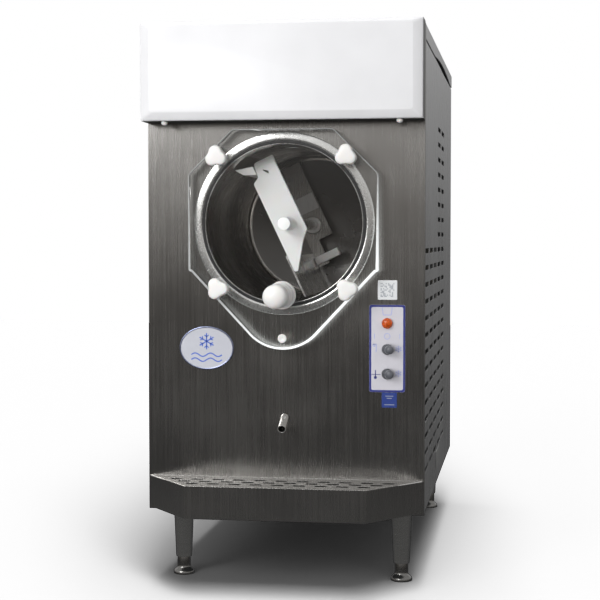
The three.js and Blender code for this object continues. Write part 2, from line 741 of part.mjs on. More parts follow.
function beaterPlate() {
  const [holeX, holeZ] = beaterPoint(3, -81);
  return cut(
    join(
      wall(beaterShape(PLATE_OUTLINE), [PLATE_FRONT, PLATE_BACK]),
      rodAlongY(NOSE_RADIUS, [FACEPLATE_BACK + 1.6, PLATE_FRONT + 1], 0, 0, 24),
      rodAlongY(HUB_RADIUS, [PLATE_BACK - 1, PLATE_BACK + 14], 0, 0, 24),
    ),
    rodAlongY(SHAFT_RADIUS + GAP, [PLATE_BACK - 3, PLATE_BACK + 15], 0, 0, 24),
    rodAlongY(3, [PLATE_FRONT - 1, PLATE_BACK + 1], holeX, holeZ, 12),
  );
}

// The rear plate ends square below the axis, with an arm down to the foot that holds the scraper.
const REAR_OUTLINE = [
  [-9, -BEATER_REACH],
  [20.5, -BEATER_REACH],
  [BEATER_HALF_WIDTH, 24],
  [-3, 24],
  [-3, 64],
  [-BEATER_HALF_WIDTH, 64],
  [-BEATER_HALF_WIDTH, -72],
  [-11, -77.5],
];

function beaterFrame() {
  const foot = [[-20, 48], [20, 48], [20, 60], [-20, 60]];
  return cut(
    join(
      wall(beaterShape(REAR_OUTLINE), [REAR_PLATE_FRONT, REAR_PLATE_BACK]),
      wall(beaterShape(foot), [REAR_PLATE_FRONT - 16, REAR_PLATE_FRONT + 1]),
      rodAlongY(HUB_RADIUS, [REAR_PLATE_FRONT - 14, REAR_PLATE_BACK + 8], 0, 0, 24),
    ),
    rodAlongY(SHAFT_RADIUS + GAP, [REAR_PLATE_FRONT - 15, REAR_PLATE_BACK + 9], 0, 0, 24),
  );
}

function beaterShaft() {
  return rodAlongY(SHAFT_RADIUS, [PLATE_BACK - 3 + GAP, GEARBOX.front + 40], 0, 0, 24);
}

const SCRAPER_LENGTH = [PLATE_FRONT, REAR_PLATE_BACK];

function upperScraper() {
  return wall(
    beaterShape([[-11.5, -95], [-11.5, -82], [-29, -90], [-37, -101.5]]),
    SCRAPER_LENGTH,
  );
}

function lowerScraper() {
  const inner = -BEATER_HALF_WIDTH - GAP;
  const outer = inner - 2.5;
  const top = 40;
  const bottom = SCRAPER_REACH - 3;
  return wall(beaterShape([[inner, top], [inner, bottom], [outer, bottom], [outer, top]]), SCRAPER_LENGTH);
}

const GEARBOX = { front: 333.6, back: 410, halfWidth: 55, bottom: -75, top: 55, bossRadius: 24 };

add(freezer, 'beater_shaft', beaterShaft(), BRIGHT_STEEL);
add(freezer, 'beater_plate', beaterPlate(), WHITE_PLASTIC);
add(freezer, 'beater_frame', beaterFrame(), BRIGHT_STEEL);
add(freezer, 'upper_scraper', upperScraper(), WHITE_PLASTIC);
add(freezer, 'lower_scraper', lowerScraper(), BRIGHT_STEEL);

// ---- Drive behind the cylinder ----

const BULKHEAD = { front: 330, thickness: 3, bottom: -154, top: 150, hole: 26 };

function shaftSeal() {
  const inner = SHAFT_RADIUS + RUNNING_GAP;
  const lip = CYLINDER_LENGTH - GAP;
  return turnedAlongY([
    [inner, lip - 5],
    [16, lip - 5],
    [16, lip],
    [SHAFT_HOLE - GAP, lip],
    [SHAFT_HOLE - GAP, CYLINDER_LENGTH + 5],
    [inner, CYLINDER_LENGTH + 5],
    [inner, lip - 5],
  ], 24);
}

function rearBulkhead() {
  const half = INSIDE - GAP;
  const { front, thickness, bottom, top, hole } = BULKHEAD;
  return cut(
    block([-half, half], [front, front + thickness], [bottom, top]),
    rodAlongY(hole, [front - 1, front + thickness + 1]),
  );
}

function gearbox() {
  const { front, back, halfWidth, bottom, top, bossRadius } = GEARBOX;
  return cut(
    join(
      block([-halfWidth, halfWidth], [front, back], [bottom, top]),
      rodAlongY(bossRadius, [BULKHEAD.front - 3, front + 1]),
    ),
    rodAlongY(SHAFT_RADIUS + RUNNING_GAP, [BULKHEAD.front - 4, front + 42], 0, 0, 24),
  );
}

function driveMotor() {
  const front = GEARBOX.back + GAP;
  return turnedAlongY([
    [0, front],
    [52, front],
    [52, front + 8],
    [62, front + 8],
    [62, front + 150],
    [54, front + 165],
    [0, front + 168],
  ], 28);
}

add(freezer, 'shaft_seal', shaftSeal(), BLACK_RUBBER);
add(freezer, 'rear_bulkhead', rearBulkhead(), GALVANISED);
add(freezer, 'gearbox', gearbox(), GREY_PAINT);
add(freezer, 'drive_motor', driveMotor(), GREY_PAINT, 0, 0, -10);

// ---- Refrigeration in the lower half of the cabinet ----

const FAN = { axisHeight: 142, hubRadius: 18, tip: 98, front: 574, back: 596, blades: 5, pitch: 28 };
const FAN_SHAFT = { radius: 4, setback: 8 }; // the shaft ends this far in front of the fan's back
const SHROUD = { front: 602, thickness: 2, halfWidth: 145, bottom: 8, top: 272 };
const CONDENSER = { front: 612, back: 650, halfWidth: 140, bottom: 10, top: 268 };

const COMPRESSOR = { x: -85, y: 190, height: 200, radius: 75, halfBase: 78 };

// A welded steel shell with a seam flange round its middle, on a base plate.
function compressor() {
  const { height, radius, halfBase } = COMPRESSOR;
  const half = [-halfBase, halfBase];
  const seam = height / 2;
  return join(
    block(half, half, [SHEET + GAP + 0.2, 6]),
    turnedAlongZ([
      [0, 5],
      [radius - 5, 5],
      [radius, 20],
      [radius, seam - 4],
      [radius + 4, seam - 2],
      [radius + 4, seam + 4],
      [radius, seam + 6],
      [radius - 2, height - 35],
      [radius - 17, height - 12],
      [radius - 45, height - 2],
      [0, height],
    ], 24),
  );
}

function condenser() {
  const { front, back, halfWidth, bottom, top } = CONDENSER;
  const core = block([-halfWidth, halfWidth], [front, back], [bottom, top]);
  const lip = 4; // end plates stand out past the fins
  const endPlates = [-1, 1].map((side) => {
    const face = side * halfWidth;
    return block([face - 1, face + 1], [front - lip, back + lip], [bottom - lip, top + lip]);
  });
  return join(core, ...endPlates);
}

function fanShroud() {
  const { front, thickness, halfWidth, bottom, top } = SHROUD;
  const mouth = FAN.tip + 6;
  const collar = { front: front - 24, thickness: 1.5 };
  return join(
    cut(
      block([-halfWidth, halfWidth], [front, front + thickness], [bottom, top]),
      rodAlongY(mouth, [front - 1, front + thickness + 1], 0, FAN.axisHeight, 36),
    ),
    turnedAlongY([
      [mouth, collar.front],
      [mouth + collar.thickness, collar.front],
      [mouth + collar.thickness, front + 1],
      [mouth, front + 1],
      [mouth, collar.front],
    ], 36, 0, FAN.axisHeight),
  );
}

// Modelled about its own axis, which is y.
function condenserFan() {
  const root = FAN.hubRadius - 8;
  const bladeShape = polygon([
    [root, -16],
    [FAN.tip - 12, -24],
    [FAN.tip, -4],
    [FAN.tip - 8, 24],
    [root, 16],
  ]);
  const thickness = 1.6;
  const middle = (FAN.front + FAN.back) / 2;
  const blades = [];
  for (let i = 0; i < FAN.blades; i++) {
    const blade = extruded(bladeShape, thickness, 1);
    blade.translate(0, 0, -thickness / 2);
    blade.rotateX(Math.PI / 2 + THREE.MathUtils.degToRad(FAN.pitch));
    blade.rotateY((i / FAN.blades) * 2 * Math.PI);
    blade.translate(0, middle, 0);
    blades.push(solid(blade));
  }
  const hub = rodAlongY(FAN.hubRadius, [FAN.front - 2, FAN.back], 0, 0, 24);
  const bore = rodAlongY(FAN_SHAFT.radius + RUNNING_GAP, [FAN.front - 3, FAN.back - 6], 0, 0, 16);
  return cut(join(hub, ...blades), bore);
}

// A round motor on a bracket that stands on the base pan, with its shaft in the fan's bore.
function fanMotor() {
  const can = { radius: 38, front: 500, back: 558 };
  const bracket = { halfWidth: 14, front: 520, back: 526 };
  const foot = { halfWidth: 40, overhang: 15, thickness: 3 };
  const floor = SHEET + GAP;
  return join(
    turnedAlongY([
      [0, can.front],
      [can.radius - 4, can.front],
      [can.radius, can.front + 6],
      [can.radius, can.back - 6],
      [can.radius - 8, can.back],
      [FAN_SHAFT.radius, can.back],
      [FAN_SHAFT.radius, FAN.back - FAN_SHAFT.setback],
      [0, FAN.back - FAN_SHAFT.setback],
    ], 24, 0, FAN.axisHeight),
    block([-bracket.halfWidth, bracket.halfWidth], [bracket.front, bracket.back], [floor, FAN.axisHeight]),
    block(
      [-foot.halfWidth, foot.halfWidth],
      [bracket.front - foot.overhang, bracket.back + foot.overhang],
      [floor, floor + foot.thickness],
    ),
  );
}

add(cabinet, 'compressor', compressor(), BLACK_PAINT, COMPRESSOR.x, COMPRESSOR.y);
add(cabinet, 'condenser', condenser(), COPPER);
add(cabinet, 'fan_shroud', fanShroud(), BLACK_PAINT);
add(cabinet, 'condenser_fan', condenserFan(), BLACK_PAINT, 0, 0, FAN.axisHeight);
add(cabinet, 'fan_motor', fanMotor(), BLACK_PAINT);

// ---- Controls, labels and cable gland ----

const CONTROL_PLATE = { width: 50, height: 121, corner: 3, thickness: 1 };
const LABEL_THICKNESS = 0.5;

// Frame of the control plate's middle, on the face of the front panel.
const controls = group(cabinet, CONTROL_X, 0, CONTROL_HEIGHT);

function flatLabel(shape, thickness) {
  return wall(shape, [FRONT_FACE - thickness, FRONT_FACE]);
}

function controlPlate() {
  const { width, height, corner, thickness } = CONTROL_PLATE;
  const through = [-5, 1];
  return cut(
    flatLabel(roundedRectangle(width, height, corner), thickness),
    rodAlongY(LAMP_STEM_RADIUS + GAP, through, 0, LAMP_RISE, 16),
    ...Object.values(TOGGLE_RISES).map((rise) => rodAlongY(BUSHING_RADIUS + GAP, through, 0, rise, 16)),
  );
}

const LAMP = { radius: 7.5, length: 7.5 };

function indicatorLamp() {
  const back = FRONT_FACE - CONTROL_PLATE.thickness - GAP;
  const stemEnd = 2.4;
  return turnedAlongY([
    [0, back - LAMP.length],
    [LAMP.radius - 3.5, back - LAMP.length + 0.9],
    [LAMP.radius - 0.9, back - LAMP.length + 3.5],
    [LAMP.radius, back - 1],
    [LAMP.radius, back],
    [LAMP_STEM_RADIUS, back],
    [LAMP_STEM_RADIUS, stemEnd],
    [0, stemEnd],
  ]);
}

// The electrical box carries the two switches, whose bushings come through the front panel.
function controlBox() {
  const box = block([-25, 25], [3, 55], [-56, 54]);
  const bushingFront = -2.4;
  const bushings = Object.values(TOGGLE_RISES).map((rise) =>
    rodAlongY(BUSHING_RADIUS, [bushingFront, 4], 0, rise, 16));
  return join(box, ...bushings);
}

// A toggle lever under its rubber boot: a skirt on the control plate, a waist and a rounded tip.
function toggle() {
  const skirt = { radius: 7.6, back: -4.3, front: -5 };
  const waist = { radius: 5.6, y: -11 };
  const tip = { radius: 6.2, y: -15, front: -20.5 };
  return turnedAlongY([
    [0, tip.front],
    [tip.radius / 2, tip.front + 0.5],
    [tip.radius - 0.8, tip.front + 2.5],
    [tip.radius, tip.y],
    [waist.radius, waist.y],
    [(waist.radius + skirt.radius) / 2, skirt.front - 2],
    [skirt.radius, skirt.front],
    [skirt.radius, skirt.back],
    [0, skirt.back],
  ], 16);
}

const BADGE = { x: -111.5, height: 229, halfWidth: 39, halfHeight: 30.5, thickness: 1 };

function badge() {
  const outline = new THREE.Shape().absellipse(0, 0, BADGE.halfWidth, BADGE.halfHeight, 0, 2 * Math.PI);
  return flatLabel(outline, BADGE.thickness);
}

const DATA_PLATE = { y: 315, height: 36, halfLength: 40, halfHeight: 14 };

function dataPlate() {
  const shape = rectangle(
    [-DATA_PLATE.halfLength, DATA_PLATE.halfLength],
    [-DATA_PLATE.halfHeight, DATA_PLATE.halfHeight],
  );
  return sideWall(shape, [SIDE_FACE + GAP, SIDE_FACE + GAP + LABEL_THICKNESS]);
}

// A hollow gland through the rear panel, with a flange outside it and a stepped nose.
function cableGland() {
  const bore = 4.5;
  const inner = DEPTH - GLAND_REACH;
  const outer = DEPTH + GLAND_REACH;
  const flange = { radius: 13, back: DEPTH + 6 };
  const noseRadius = 9.5;
  return turnedAlongY([
    [bore, inner],
    [GLAND_RADIUS, inner],
    [GLAND_RADIUS, DEPTH + GAP],
    [flange.radius, DEPTH + GAP],
    [flange.radius, flange.back],
    [noseRadius, outer],
    [bore, outer],
    [bore, inner],
  ], 16);
}

const SQUARE_LABELS = [
  { name: 'code_label', x: 143.7, height: 312, size: 27, material: WHITE_ENAMEL },
  { name: 'service_label', x: 146.5, height: 159.5, size: 21, material: BLUE_PRINT },
];

function squareLabel(size) {
  const span = [-size / 2, size / 2];
  return flatLabel(rectangle(span, span), LABEL_THICKNESS);
}

add(controls, 'control_plate', controlPlate(), WHITE_ENAMEL);
add(controls, 'indicator_lamp', indicatorLamp(), AMBER, 0, 0, LAMP_RISE);
add(controls, 'control_box', controlBox(), GALVANISED);
for (const [name, rise] of Object.entries(TOGGLE_RISES)) {
  add(controls, name, toggle(), GREY_RUBBER, 0, 0, rise);
}
add(cabinet, 'badge', badge(), WHITE_ENAMEL, BADGE.x, 0, BADGE.height);
for (const { name, x, height, size, material } of SQUARE_LABELS) {
  add(cabinet, name, squareLabel(size), material, x, 0, height);
}
add(cabinet, 'data_plate', dataPlate(), BRIGHT_STEEL, 0, DATA_PLATE.y, DATA_PLATE.height);
add(cabinet, 'cable_gland', cableGland(), BLACK_RUBBER, GLAND_X, 0, GLAND_HEIGHT);

// ---- Drip tray ----

const TRAY_LEDGE = { width: 7, height: 44 };
const TRAY_SLOT = { length: 16, width: 12, pitch: 29.7, rows: [-28, -46, -64] };

// The tray in plan: full width at the panel, narrower in front, drawn in by an inset.
function trayOutline(inset) {
  const lean = (HALF_WIDTH - TRAY_FRONT_HALF_WIDTH) / TRAY_REACH;
  const [rear, front] = [-GAP - inset, -TRAY_REACH + inset];
  const sideShift = inset * Math.hypot(1, lean);
  const halfAt = (y) => HALF_WIDTH + lean * y - sideShift;
  return polygon([
    [-halfAt(front), front],
    [halfAt(front), front],
    [halfAt(rear), rear],
    [-halfAt(rear), rear],
  ]);
}

function dripTray() {
  return cut(
    slab(trayOutline(0), [TRAY_BOTTOM, TRAY_TOP]),
    slab(trayOutline(SHEET), [TRAY_BOTTOM + SHEET, TRAY_LEDGE.height - SHEET]),
    slab(trayOutline(TRAY_LEDGE.width), [TRAY_BOTTOM + SHEET, TRAY_TOP + 1]),
    slab(trayOutline(SHEET), [TRAY_LEDGE.height, TRAY_TOP + 1]),
  );
}

function dripGrille() {
  const limits = [TRAY_LEDGE.height + GAP, TRAY_TOP - GAP];
  const slots = [];
  TRAY_SLOT.rows.forEach((y, row) => {
    const count = 11 - row;
    for (let i = 0; i < count; i++) {
      const x = (i - (count - 1) / 2) * TRAY_SLOT.pitch;
      slots.push(block(
        [x - TRAY_SLOT.length / 2, x + TRAY_SLOT.length / 2],
        [y - TRAY_SLOT.width / 2, y + TRAY_SLOT.width / 2],
        [limits[0] - 1, limits[1] + 1],
      ));
    }
  });
  return cut(slab(trayOutline(SHEET + GAP), limits), ...slots);
}

add(cabinet, 'drip_tray', dripTray(), STAINLESS);
add(cabinet, 'drip_grille', dripGrille(), STAINLESS);

// ---- Legs ----

const LEG = { bottom: 25, bottomRadius: 11, topRadius: 14.5, bore: 9.6, boreTop: 60 };
const FOOT = { flangeRadius: 15, flangeHeight: 9, stemRadius: 9.25, stemTop: 46 };

// A tapered sleeve, bored from below for the foot's stem, with a stud through the base pan on top.
function legSleeve() {
  const top = LEG_HEIGHT - GAP;
  return turnedAlongZ([
    [0, LEG.boreTop],
    [LEG.bore, LEG.boreTop],
    [LEG.bore, LEG.bottom],
    [LEG.bottomRadius, LEG.bottom],
    [LEG.topRadius, top],
    [LEG_STUD_RADIUS, top],
    [LEG_STUD_RADIUS, top + 12],
    [0, top + 12],
  ]);
}

function legFoot() {
  return turnedAlongZ([
    [0, 0],
    [FOOT.flangeRadius, 0],
    [FOOT.flangeRadius, 2.5],
    [FOOT.flangeRadius - 3.5, 7],
    [FOOT.stemRadius, FOOT.flangeHeight],
    [FOOT.stemRadius, FOOT.stemTop],
    [0, FOOT.stemTop],
  ]);
}

for (const [side, sideName] of [[-1, 'left'], [1, 'right']]) {
  for (const [setback, endName] of [[LEG_SETBACK.front, 'front'], [DEPTH - LEG_SETBACK.rear, 'rear']]) {
    const place = group(machine, side * LEG_OFFSET, FRONT + setback, 0);
    add(place, `leg_${endName}_${sideName}`, legSleeve(), BRIGHT_STEEL);
    add(place, `foot_${endName}_${sideName}`, legFoot(), BRIGHT_STEEL);
  }
}

export default machine;
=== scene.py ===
import json
import math
import random

import bmesh
import bpy
from mathutils import Matrix, Vector


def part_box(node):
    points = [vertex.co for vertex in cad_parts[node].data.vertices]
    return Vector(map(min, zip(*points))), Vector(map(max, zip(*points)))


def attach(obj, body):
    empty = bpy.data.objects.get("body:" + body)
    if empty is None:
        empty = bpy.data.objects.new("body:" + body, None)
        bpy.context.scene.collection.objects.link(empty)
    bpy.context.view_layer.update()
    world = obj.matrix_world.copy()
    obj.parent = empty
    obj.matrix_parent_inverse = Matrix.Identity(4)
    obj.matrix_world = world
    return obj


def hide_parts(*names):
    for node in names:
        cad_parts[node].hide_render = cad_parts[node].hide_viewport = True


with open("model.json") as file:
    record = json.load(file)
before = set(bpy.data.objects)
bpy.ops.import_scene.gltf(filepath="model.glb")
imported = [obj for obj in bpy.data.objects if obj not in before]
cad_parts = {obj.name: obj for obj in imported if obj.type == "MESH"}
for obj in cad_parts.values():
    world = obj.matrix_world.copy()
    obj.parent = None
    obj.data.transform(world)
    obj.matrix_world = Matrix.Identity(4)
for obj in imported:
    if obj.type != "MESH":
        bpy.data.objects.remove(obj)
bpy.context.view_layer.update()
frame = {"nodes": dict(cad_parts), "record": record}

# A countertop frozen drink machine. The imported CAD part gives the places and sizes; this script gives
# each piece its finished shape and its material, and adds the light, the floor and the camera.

MM = 0.001
PANEL_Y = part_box("front_panel")[0].y  # face of the front panel
BASE_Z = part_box("front_panel")[0].z  # underside of the cabinet
AXIS = (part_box("freezing_cylinder")[0].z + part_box("freezing_cylinder")[1].z) / 2 / MM - BASE_Z / MM
ROUND = 48  # sides of a round piece
SLOTS = {entry["node"]: entry["material_slot"] for entry in frame["record"]["subparts"]}
BODIES = {node: body for body, nodes in frame["record"]["behaviour"]["bodies"].items() for node in nodes}


def at(x, y, z):
    """A point in metres from its millimetres: x from the middle, y back from the front panel, z up from
    the underside of the cabinet."""
    return Vector((x * MM, PANEL_Y + y * MM, BASE_Z + z * MM))


def faces(node, axis):
    """Where a CAD node's box starts and ends on an axis, in the millimetres that at() takes."""
    low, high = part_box(node)
    origin = {"x": 0.0, "y": PANEL_Y, "z": BASE_Z}[axis]
    return (getattr(low, axis) - origin) / MM, (getattr(high, axis) - origin) / MM


def middle(node):
    """The middle of a CAD node in the same millimetres."""
    low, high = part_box(node)
    place = (low + high) / 2
    return Vector((place.x, place.y - PANEL_Y, place.z - BASE_Z)) / MM


# ---------------------------------------------------------------- materials

MATERIALS = {}


class Nodes:
    """A node tree that is built by calls. An input is a plain value or another node's output."""

    def __init__(self, tree):
        self.tree = tree

    def feed(self, socket, value):
        if isinstance(value, bpy.types.NodeSocket):
            self.tree.links.new(value, socket)
        else:
            socket.default_value = value

    def add(self, kind, inputs=None, **settings):
        node = self.tree.nodes.new(kind)
        for key, value in settings.items():
            setattr(node, key, value)
        for key, value in (inputs or {}).items():
            self.feed(node.inputs[key], value)
        return node

    def spread(self, value, low, high, start=0.3, end=0.7):
        """value from start to end, as low to high."""
        return self.add("ShaderNodeMapRange", {
            "Value": value, "From Min": start, "From Max": end, "To Min": low, "To Max": high,
        }).outputs["Result"]

    def combine(self, first, second, operation="ADD"):
        return self.add("ShaderNodeMath", {0: first, 1: second}, operation=operation).outputs["Value"]

    def times(self, first, second):
        return self.combine(first, second, "MULTIPLY")

    def colours(self, value, *stops):
        """Colours along value, from (place, (r, g, b)) stops."""
        node = self.add("ShaderNodeValToRGB", {"Fac": value})
        elements = node.color_ramp.elements
        while len(elements) < len(stops):
            elements.new(0.5)
        for element, (place, colour) in zip(elements, stops):
            element.position = place
            element.color = (*colour, 1)
        return node.outputs["Color"]


class Finish(Nodes):
    """A node material on one Principled shader. Patterns are measured in metres of the row frame."""

    def __init__(self, name, **values):
        MATERIALS[name] = bpy.data.materials.new(name)
        MATERIALS[name].use_nodes = True
        super().__init__(MATERIALS[name].node_tree)
        self.shader = self.tree.nodes["Principled BSDF"]
        self.place = self.add("ShaderNodeTexCoord").outputs["Object"]
        for socket, value in values.items():
            self.feed(self.shader.inputs[socket.replace("_", " ")], value)

    def scaled(self, per_metre, seed=0.0):
        """The place, with that many units per metre along X, Y and Z."""
        scale = per_metre if isinstance(per_metre, tuple) else (per_metre,) * 3
        return self.add("ShaderNodeMapping", {
            "Vector": self.place, "Scale": scale, "Location": (seed, seed * 1.7, seed * 2.3),
        }).outputs["Vector"]

    def noise(self, per_metre, detail=2.0, roughness=0.5, seed=0.0):
        """Noise with that many blotches per metre."""
        return self.add("ShaderNodeTexNoise", {
            "Vector": self.scaled(per_metre, seed), "Scale": 1.0, "Detail": detail, "Roughness": roughness,
        }).outputs["Fac"]

    def cells(self, per_metre):
        return self.add("ShaderNodeTexVoronoi", {"Vector": self.scaled(per_metre), "Scale": 1.0}).outputs

    def paint(self, value, *stops):
        self.feed(self.shader.inputs["Base Color"], self.colours(value, *stops))

    def tint(self, value, colour, dark, light, start=0.3, end=0.7):
        """One colour, darker and lighter by those factors along value."""
        self.paint(value, (start, shade(colour, dark)), (end, shade(colour, light)))

    def shine(self, roughness):
        self.feed(self.shader.inputs["Roughness"], roughness)

    def relief(self, height, depth, strength=1.0):
        """Bumps as high as depth, in metres."""
        bump = self.add("ShaderNodeBump", {"Height": height, "Distance": depth, "Strength": strength})
        self.feed(self.shader.inputs["Normal"], bump.outputs["Normal"])


def shade(colour, factor):
    return tuple(min(1.0, channel * factor) for channel in colour)


def brushed_steel(name, colour, grain, roughness=0.24, anisotropy=0.6):
    """Sheet steel with a brushed grain. grain is the number of streaks per metre along X, Y and Z."""
    finish = Finish(name, Metallic=1.0, Anisotropic=anisotropy)
    streaks = finish.noise(grain, detail=3.0, roughness=0.65)
    wide = finish.noise(tuple(g / 9 for g in grain), seed=4.0)
    smudge = finish.noise(7.0, detail=4.0, seed=9.0)
    scratch = finish.spread(finish.noise(tuple(g * 0.35 for g in grain), 5.0, 0.7, 2.0), 0, 1, 0.66, 0.72)
    tone = finish.combine(finish.combine(streaks, wide), finish.times(smudge, 0.5))
    finish.paint(
        finish.spread(tone, 0, 1, 0.8, 1.7),
        (0.0, shade(colour, 0.92)), (0.5, colour), (1.0, shade(colour, 1.06)),
    )
    gloss = finish.combine(
        finish.spread(streaks, roughness - 0.04, roughness + 0.05), finish.spread(smudge, -0.03, 0.05),
    )
    finish.shine(finish.combine(gloss, finish.times(scratch, 0.08)))
    finish.relief(finish.combine(streaks, scratch, "SUBTRACT"), 0.00001, 0.07)


def polished_steel(name):
    """Turned and polished steel with fine hairlines."""
    finish = Finish(name, Metallic=1.0)
    hair = finish.noise((260, 1800, 260), detail=3.0)
    water = finish.noise(22, detail=3.0, seed=3.0)
    finish.tint(hair, (0.86, 0.85, 0.83), 0.98, 1.01)
    finish.shine(finish.combine(finish.spread(hair, 0.22, 0.27), finish.spread(water, 0.0, 0.05)))
    finish.relief(hair, 0.000002, 0.06)


def bore_steel(name, colour):
    """The honed inside of the cylinder: darker than its polished flange, with hoop marks."""
    finish = Finish(name, Metallic=1.0)
    hoops = finish.noise((12, 1500, 12), detail=3.0)
    film = finish.noise(18, detail=4.0, seed=7.0)
    finish.tint(hoops, colour, 0.86, 1.1)
    finish.shine(finish.combine(finish.spread(hoops, 0.18, 0.25), finish.spread(film, 0.0, 0.08)))
    finish.relief(hoops, 0.000006, 0.5)


def galvanised_steel(name):
    """Zinc-coated sheet with its crystal spangle."""
    finish = Finish(name, Metallic=1.0)
    spangle = finish.cells(95)
    stain = finish.noise(14, detail=4.0)
    finish.paint(
        finish.combine(spangle["Color"], finish.times(stain, 0.6)),
        (0.35, (0.36, 0.38, 0.40)), (1.0, (0.58, 0.60, 0.62)),
    )
    finish.shine(finish.spread(spangle["Distance"], 0.36, 0.52, 0.0, 0.8))
    finish.relief(stain, 0.00002, 0.5)


def painted(name, colour, roughness, grain=420.0):
    """Sprayed paint with a fine orange peel and a little dust in it."""
    finish = Finish(name, Coat_Weight=0.25, Coat_Roughness=0.25)
    peel = finish.noise(grain, detail=1.0)
    cloud = finish.noise(9, detail=4.0, seed=5.0)
    finish.tint(cloud, colour, 0.95, 1.04)
    finish.shine(finish.spread(cloud, roughness - 0.05, roughness + 0.07))
    finish.relief(peel, 0.00002, 0.6)


def moulded_plastic(name, colour, roughness=0.34, scatter=0.12):
    """Moulded plastic with a fine spark texture, and handling marks in its gloss."""
    finish = Finish(name, Subsurface_Weight=scatter, Subsurface_Scale=0.003, IOR=1.49)
    handled = finish.noise(60, detail=4.0, seed=6.0)
    finish.tint(handled, colour, 0.965, 1.0)
    finish.shine(finish.spread(handled, roughness - 0.06, roughness + 0.09))
    finish.relief(finish.noise(1500), 0.000012, 0.5)


def clear_plastic(name):
    """Clear acrylic with faint wiping scratches."""
    finish = Finish(name, Transmission_Weight=1.0, IOR=1.49)
    wiped = finish.noise((300, 40, 60), detail=5.0, roughness=0.7)
    haze = finish.noise(16, detail=3.0, seed=8.0)
    finish.paint(haze, (0.3, (0.955, 0.97, 0.97)), (0.7, (0.985, 0.99, 0.99)))
    finish.shine(finish.spread(wiped, 0.0, 0.05, 0.45, 0.75))
    finish.relief(wiped, 0.000002, 0.3)


def frosted_edge(name):
    """The sawn and scraped edge of the acrylic, with a painted glow: its emission stands in for light let
    out of the sheet, most of it low down on the right, away from the lamp."""
    finish = Finish(name, Transmission_Weight=0.2, IOR=1.49, Emission_Color=(0.92, 0.95, 0.95, 1))
    place = finish.add("ShaderNodeSeparateXYZ", {"Vector": finish.place}).outputs
    across, down, dimmest, brightest = 0.6, -0.8, 0.02, 0.15
    low_right = finish.combine(finish.times(place["X"], across), finish.times(place["Z"], down))
    middle_here = down * (BASE_Z + AXIS * MM)
    # painted glow: emission that grows towards the lower right of the cover's edge
    painted_glow = finish.spread(low_right, 0.02, 0.80, middle_here + dimmest, middle_here + brightest)
    finish.feed(finish.shader.inputs["Emission Strength"], painted_glow)
    tooled = finish.noise(350, detail=4.0, roughness=0.7)
    finish.paint(tooled, (0.3, (0.40, 0.41, 0.41)), (0.7, (0.50, 0.51, 0.51)))
    finish.shine(finish.spread(tooled, 0.30, 0.55))
    finish.relief(tooled, 0.00003, 0.6)


def rubber(name, colour, roughness=0.62):
    """Moulded rubber with a soft bloom."""
    finish = Finish(name, Sheen_Weight=0.15, Sheen_Roughness=0.5)
    bloom = finish.noise(70, detail=5.0)
    finish.tint(bloom, colour, 0.85, 1.35, end=0.75)
    finish.shine(finish.spread(bloom, roughness - 0.1, roughness + 0.12))
    finish.relief(finish.noise(1300), 0.00002, 0.7)


def copper(name):
    """Drawn copper tube, dulled in patches."""
    finish = Finish(name, Metallic=1.0)
    tarnish = finish.noise(38, detail=5.0, roughness=0.6)
    finish.paint(tarnish, (0.32, (0.34, 0.15, 0.08)), (0.5, (0.72, 0.38, 0.24)), (0.7, (0.86, 0.50, 0.34)))
    finish.shine(finish.spread(tarnish, 0.44, 0.22))
    finish.relief(finish.noise(900), 0.00001, 0.5)


def foam(name):
    """Poured polyurethane foam: small cells under a rough skin."""
    finish = Finish(name, Subsurface_Weight=0.2, Subsurface_Scale=0.004)
    cells = finish.cells(420)["Distance"]
    lumps = finish.noise(45, detail=4.0)
    finish.paint(lumps, (0.3, (0.58, 0.43, 0.20)), (0.7, (0.78, 0.64, 0.36)))
    finish.shine(finish.spread(cells, 0.95, 0.8, 0.0, 0.8))
    finish.relief(finish.combine(cells, lumps), 0.0012, 0.8)


def condenser_metal(name):
    """Thin aluminium fins with dust along their edges."""
    finish = Finish(name, Metallic=0.9)
    dust = finish.noise((55, 20, 18), detail=5.0)
    finish.paint(dust, (0.35, (0.66, 0.65, 0.62)), (0.62, (0.42, 0.39, 0.34)))
    finish.shine(finish.spread(dust, 0.3, 0.65))
    finish.relief(finish.noise((900, 900, 160)), 0.00004, 0.5)


def printed(name, colour, roughness=0.36):
    """A printed polyester label, with a faint print grain under its film."""
    finish = Finish(name, Coat_Weight=0.4, Coat_Roughness=0.18)
    grain = finish.noise(2600, detail=1.0)
    wear = finish.noise(80, detail=4.0, seed=11.0)
    finish.tint(finish.combine(grain, finish.times(wear, 0.8)), colour, 0.94, 1.02, 0.55, 1.0)
    finish.shine(finish.spread(wear, roughness - 0.05, roughness + 0.08))
    finish.relief(grain, 0.000008, 0.4)


def lamp_lens(name):
    """The amber lens of the lamp, moulded with fine upright flutes."""
    finish = Finish(name, Transmission_Weight=0.35, IOR=1.49, Emission_Strength=0.05,
                    Emission_Color=(1.0, 0.22, 0.02, 1))
    depth = finish.noise(240)
    finish.paint(depth, (0.3, (0.44, 0.06, 0.003)), (0.7, (0.62, 0.12, 0.007)))
    finish.shine(finish.spread(depth, 0.14, 0.26))
    flutes = finish.add("ShaderNodeTexWave", {"Vector": finish.place, "Scale": 260.0}, bands_direction="X")
    finish.relief(flutes.outputs["Fac"], 0.0001, 0.35)


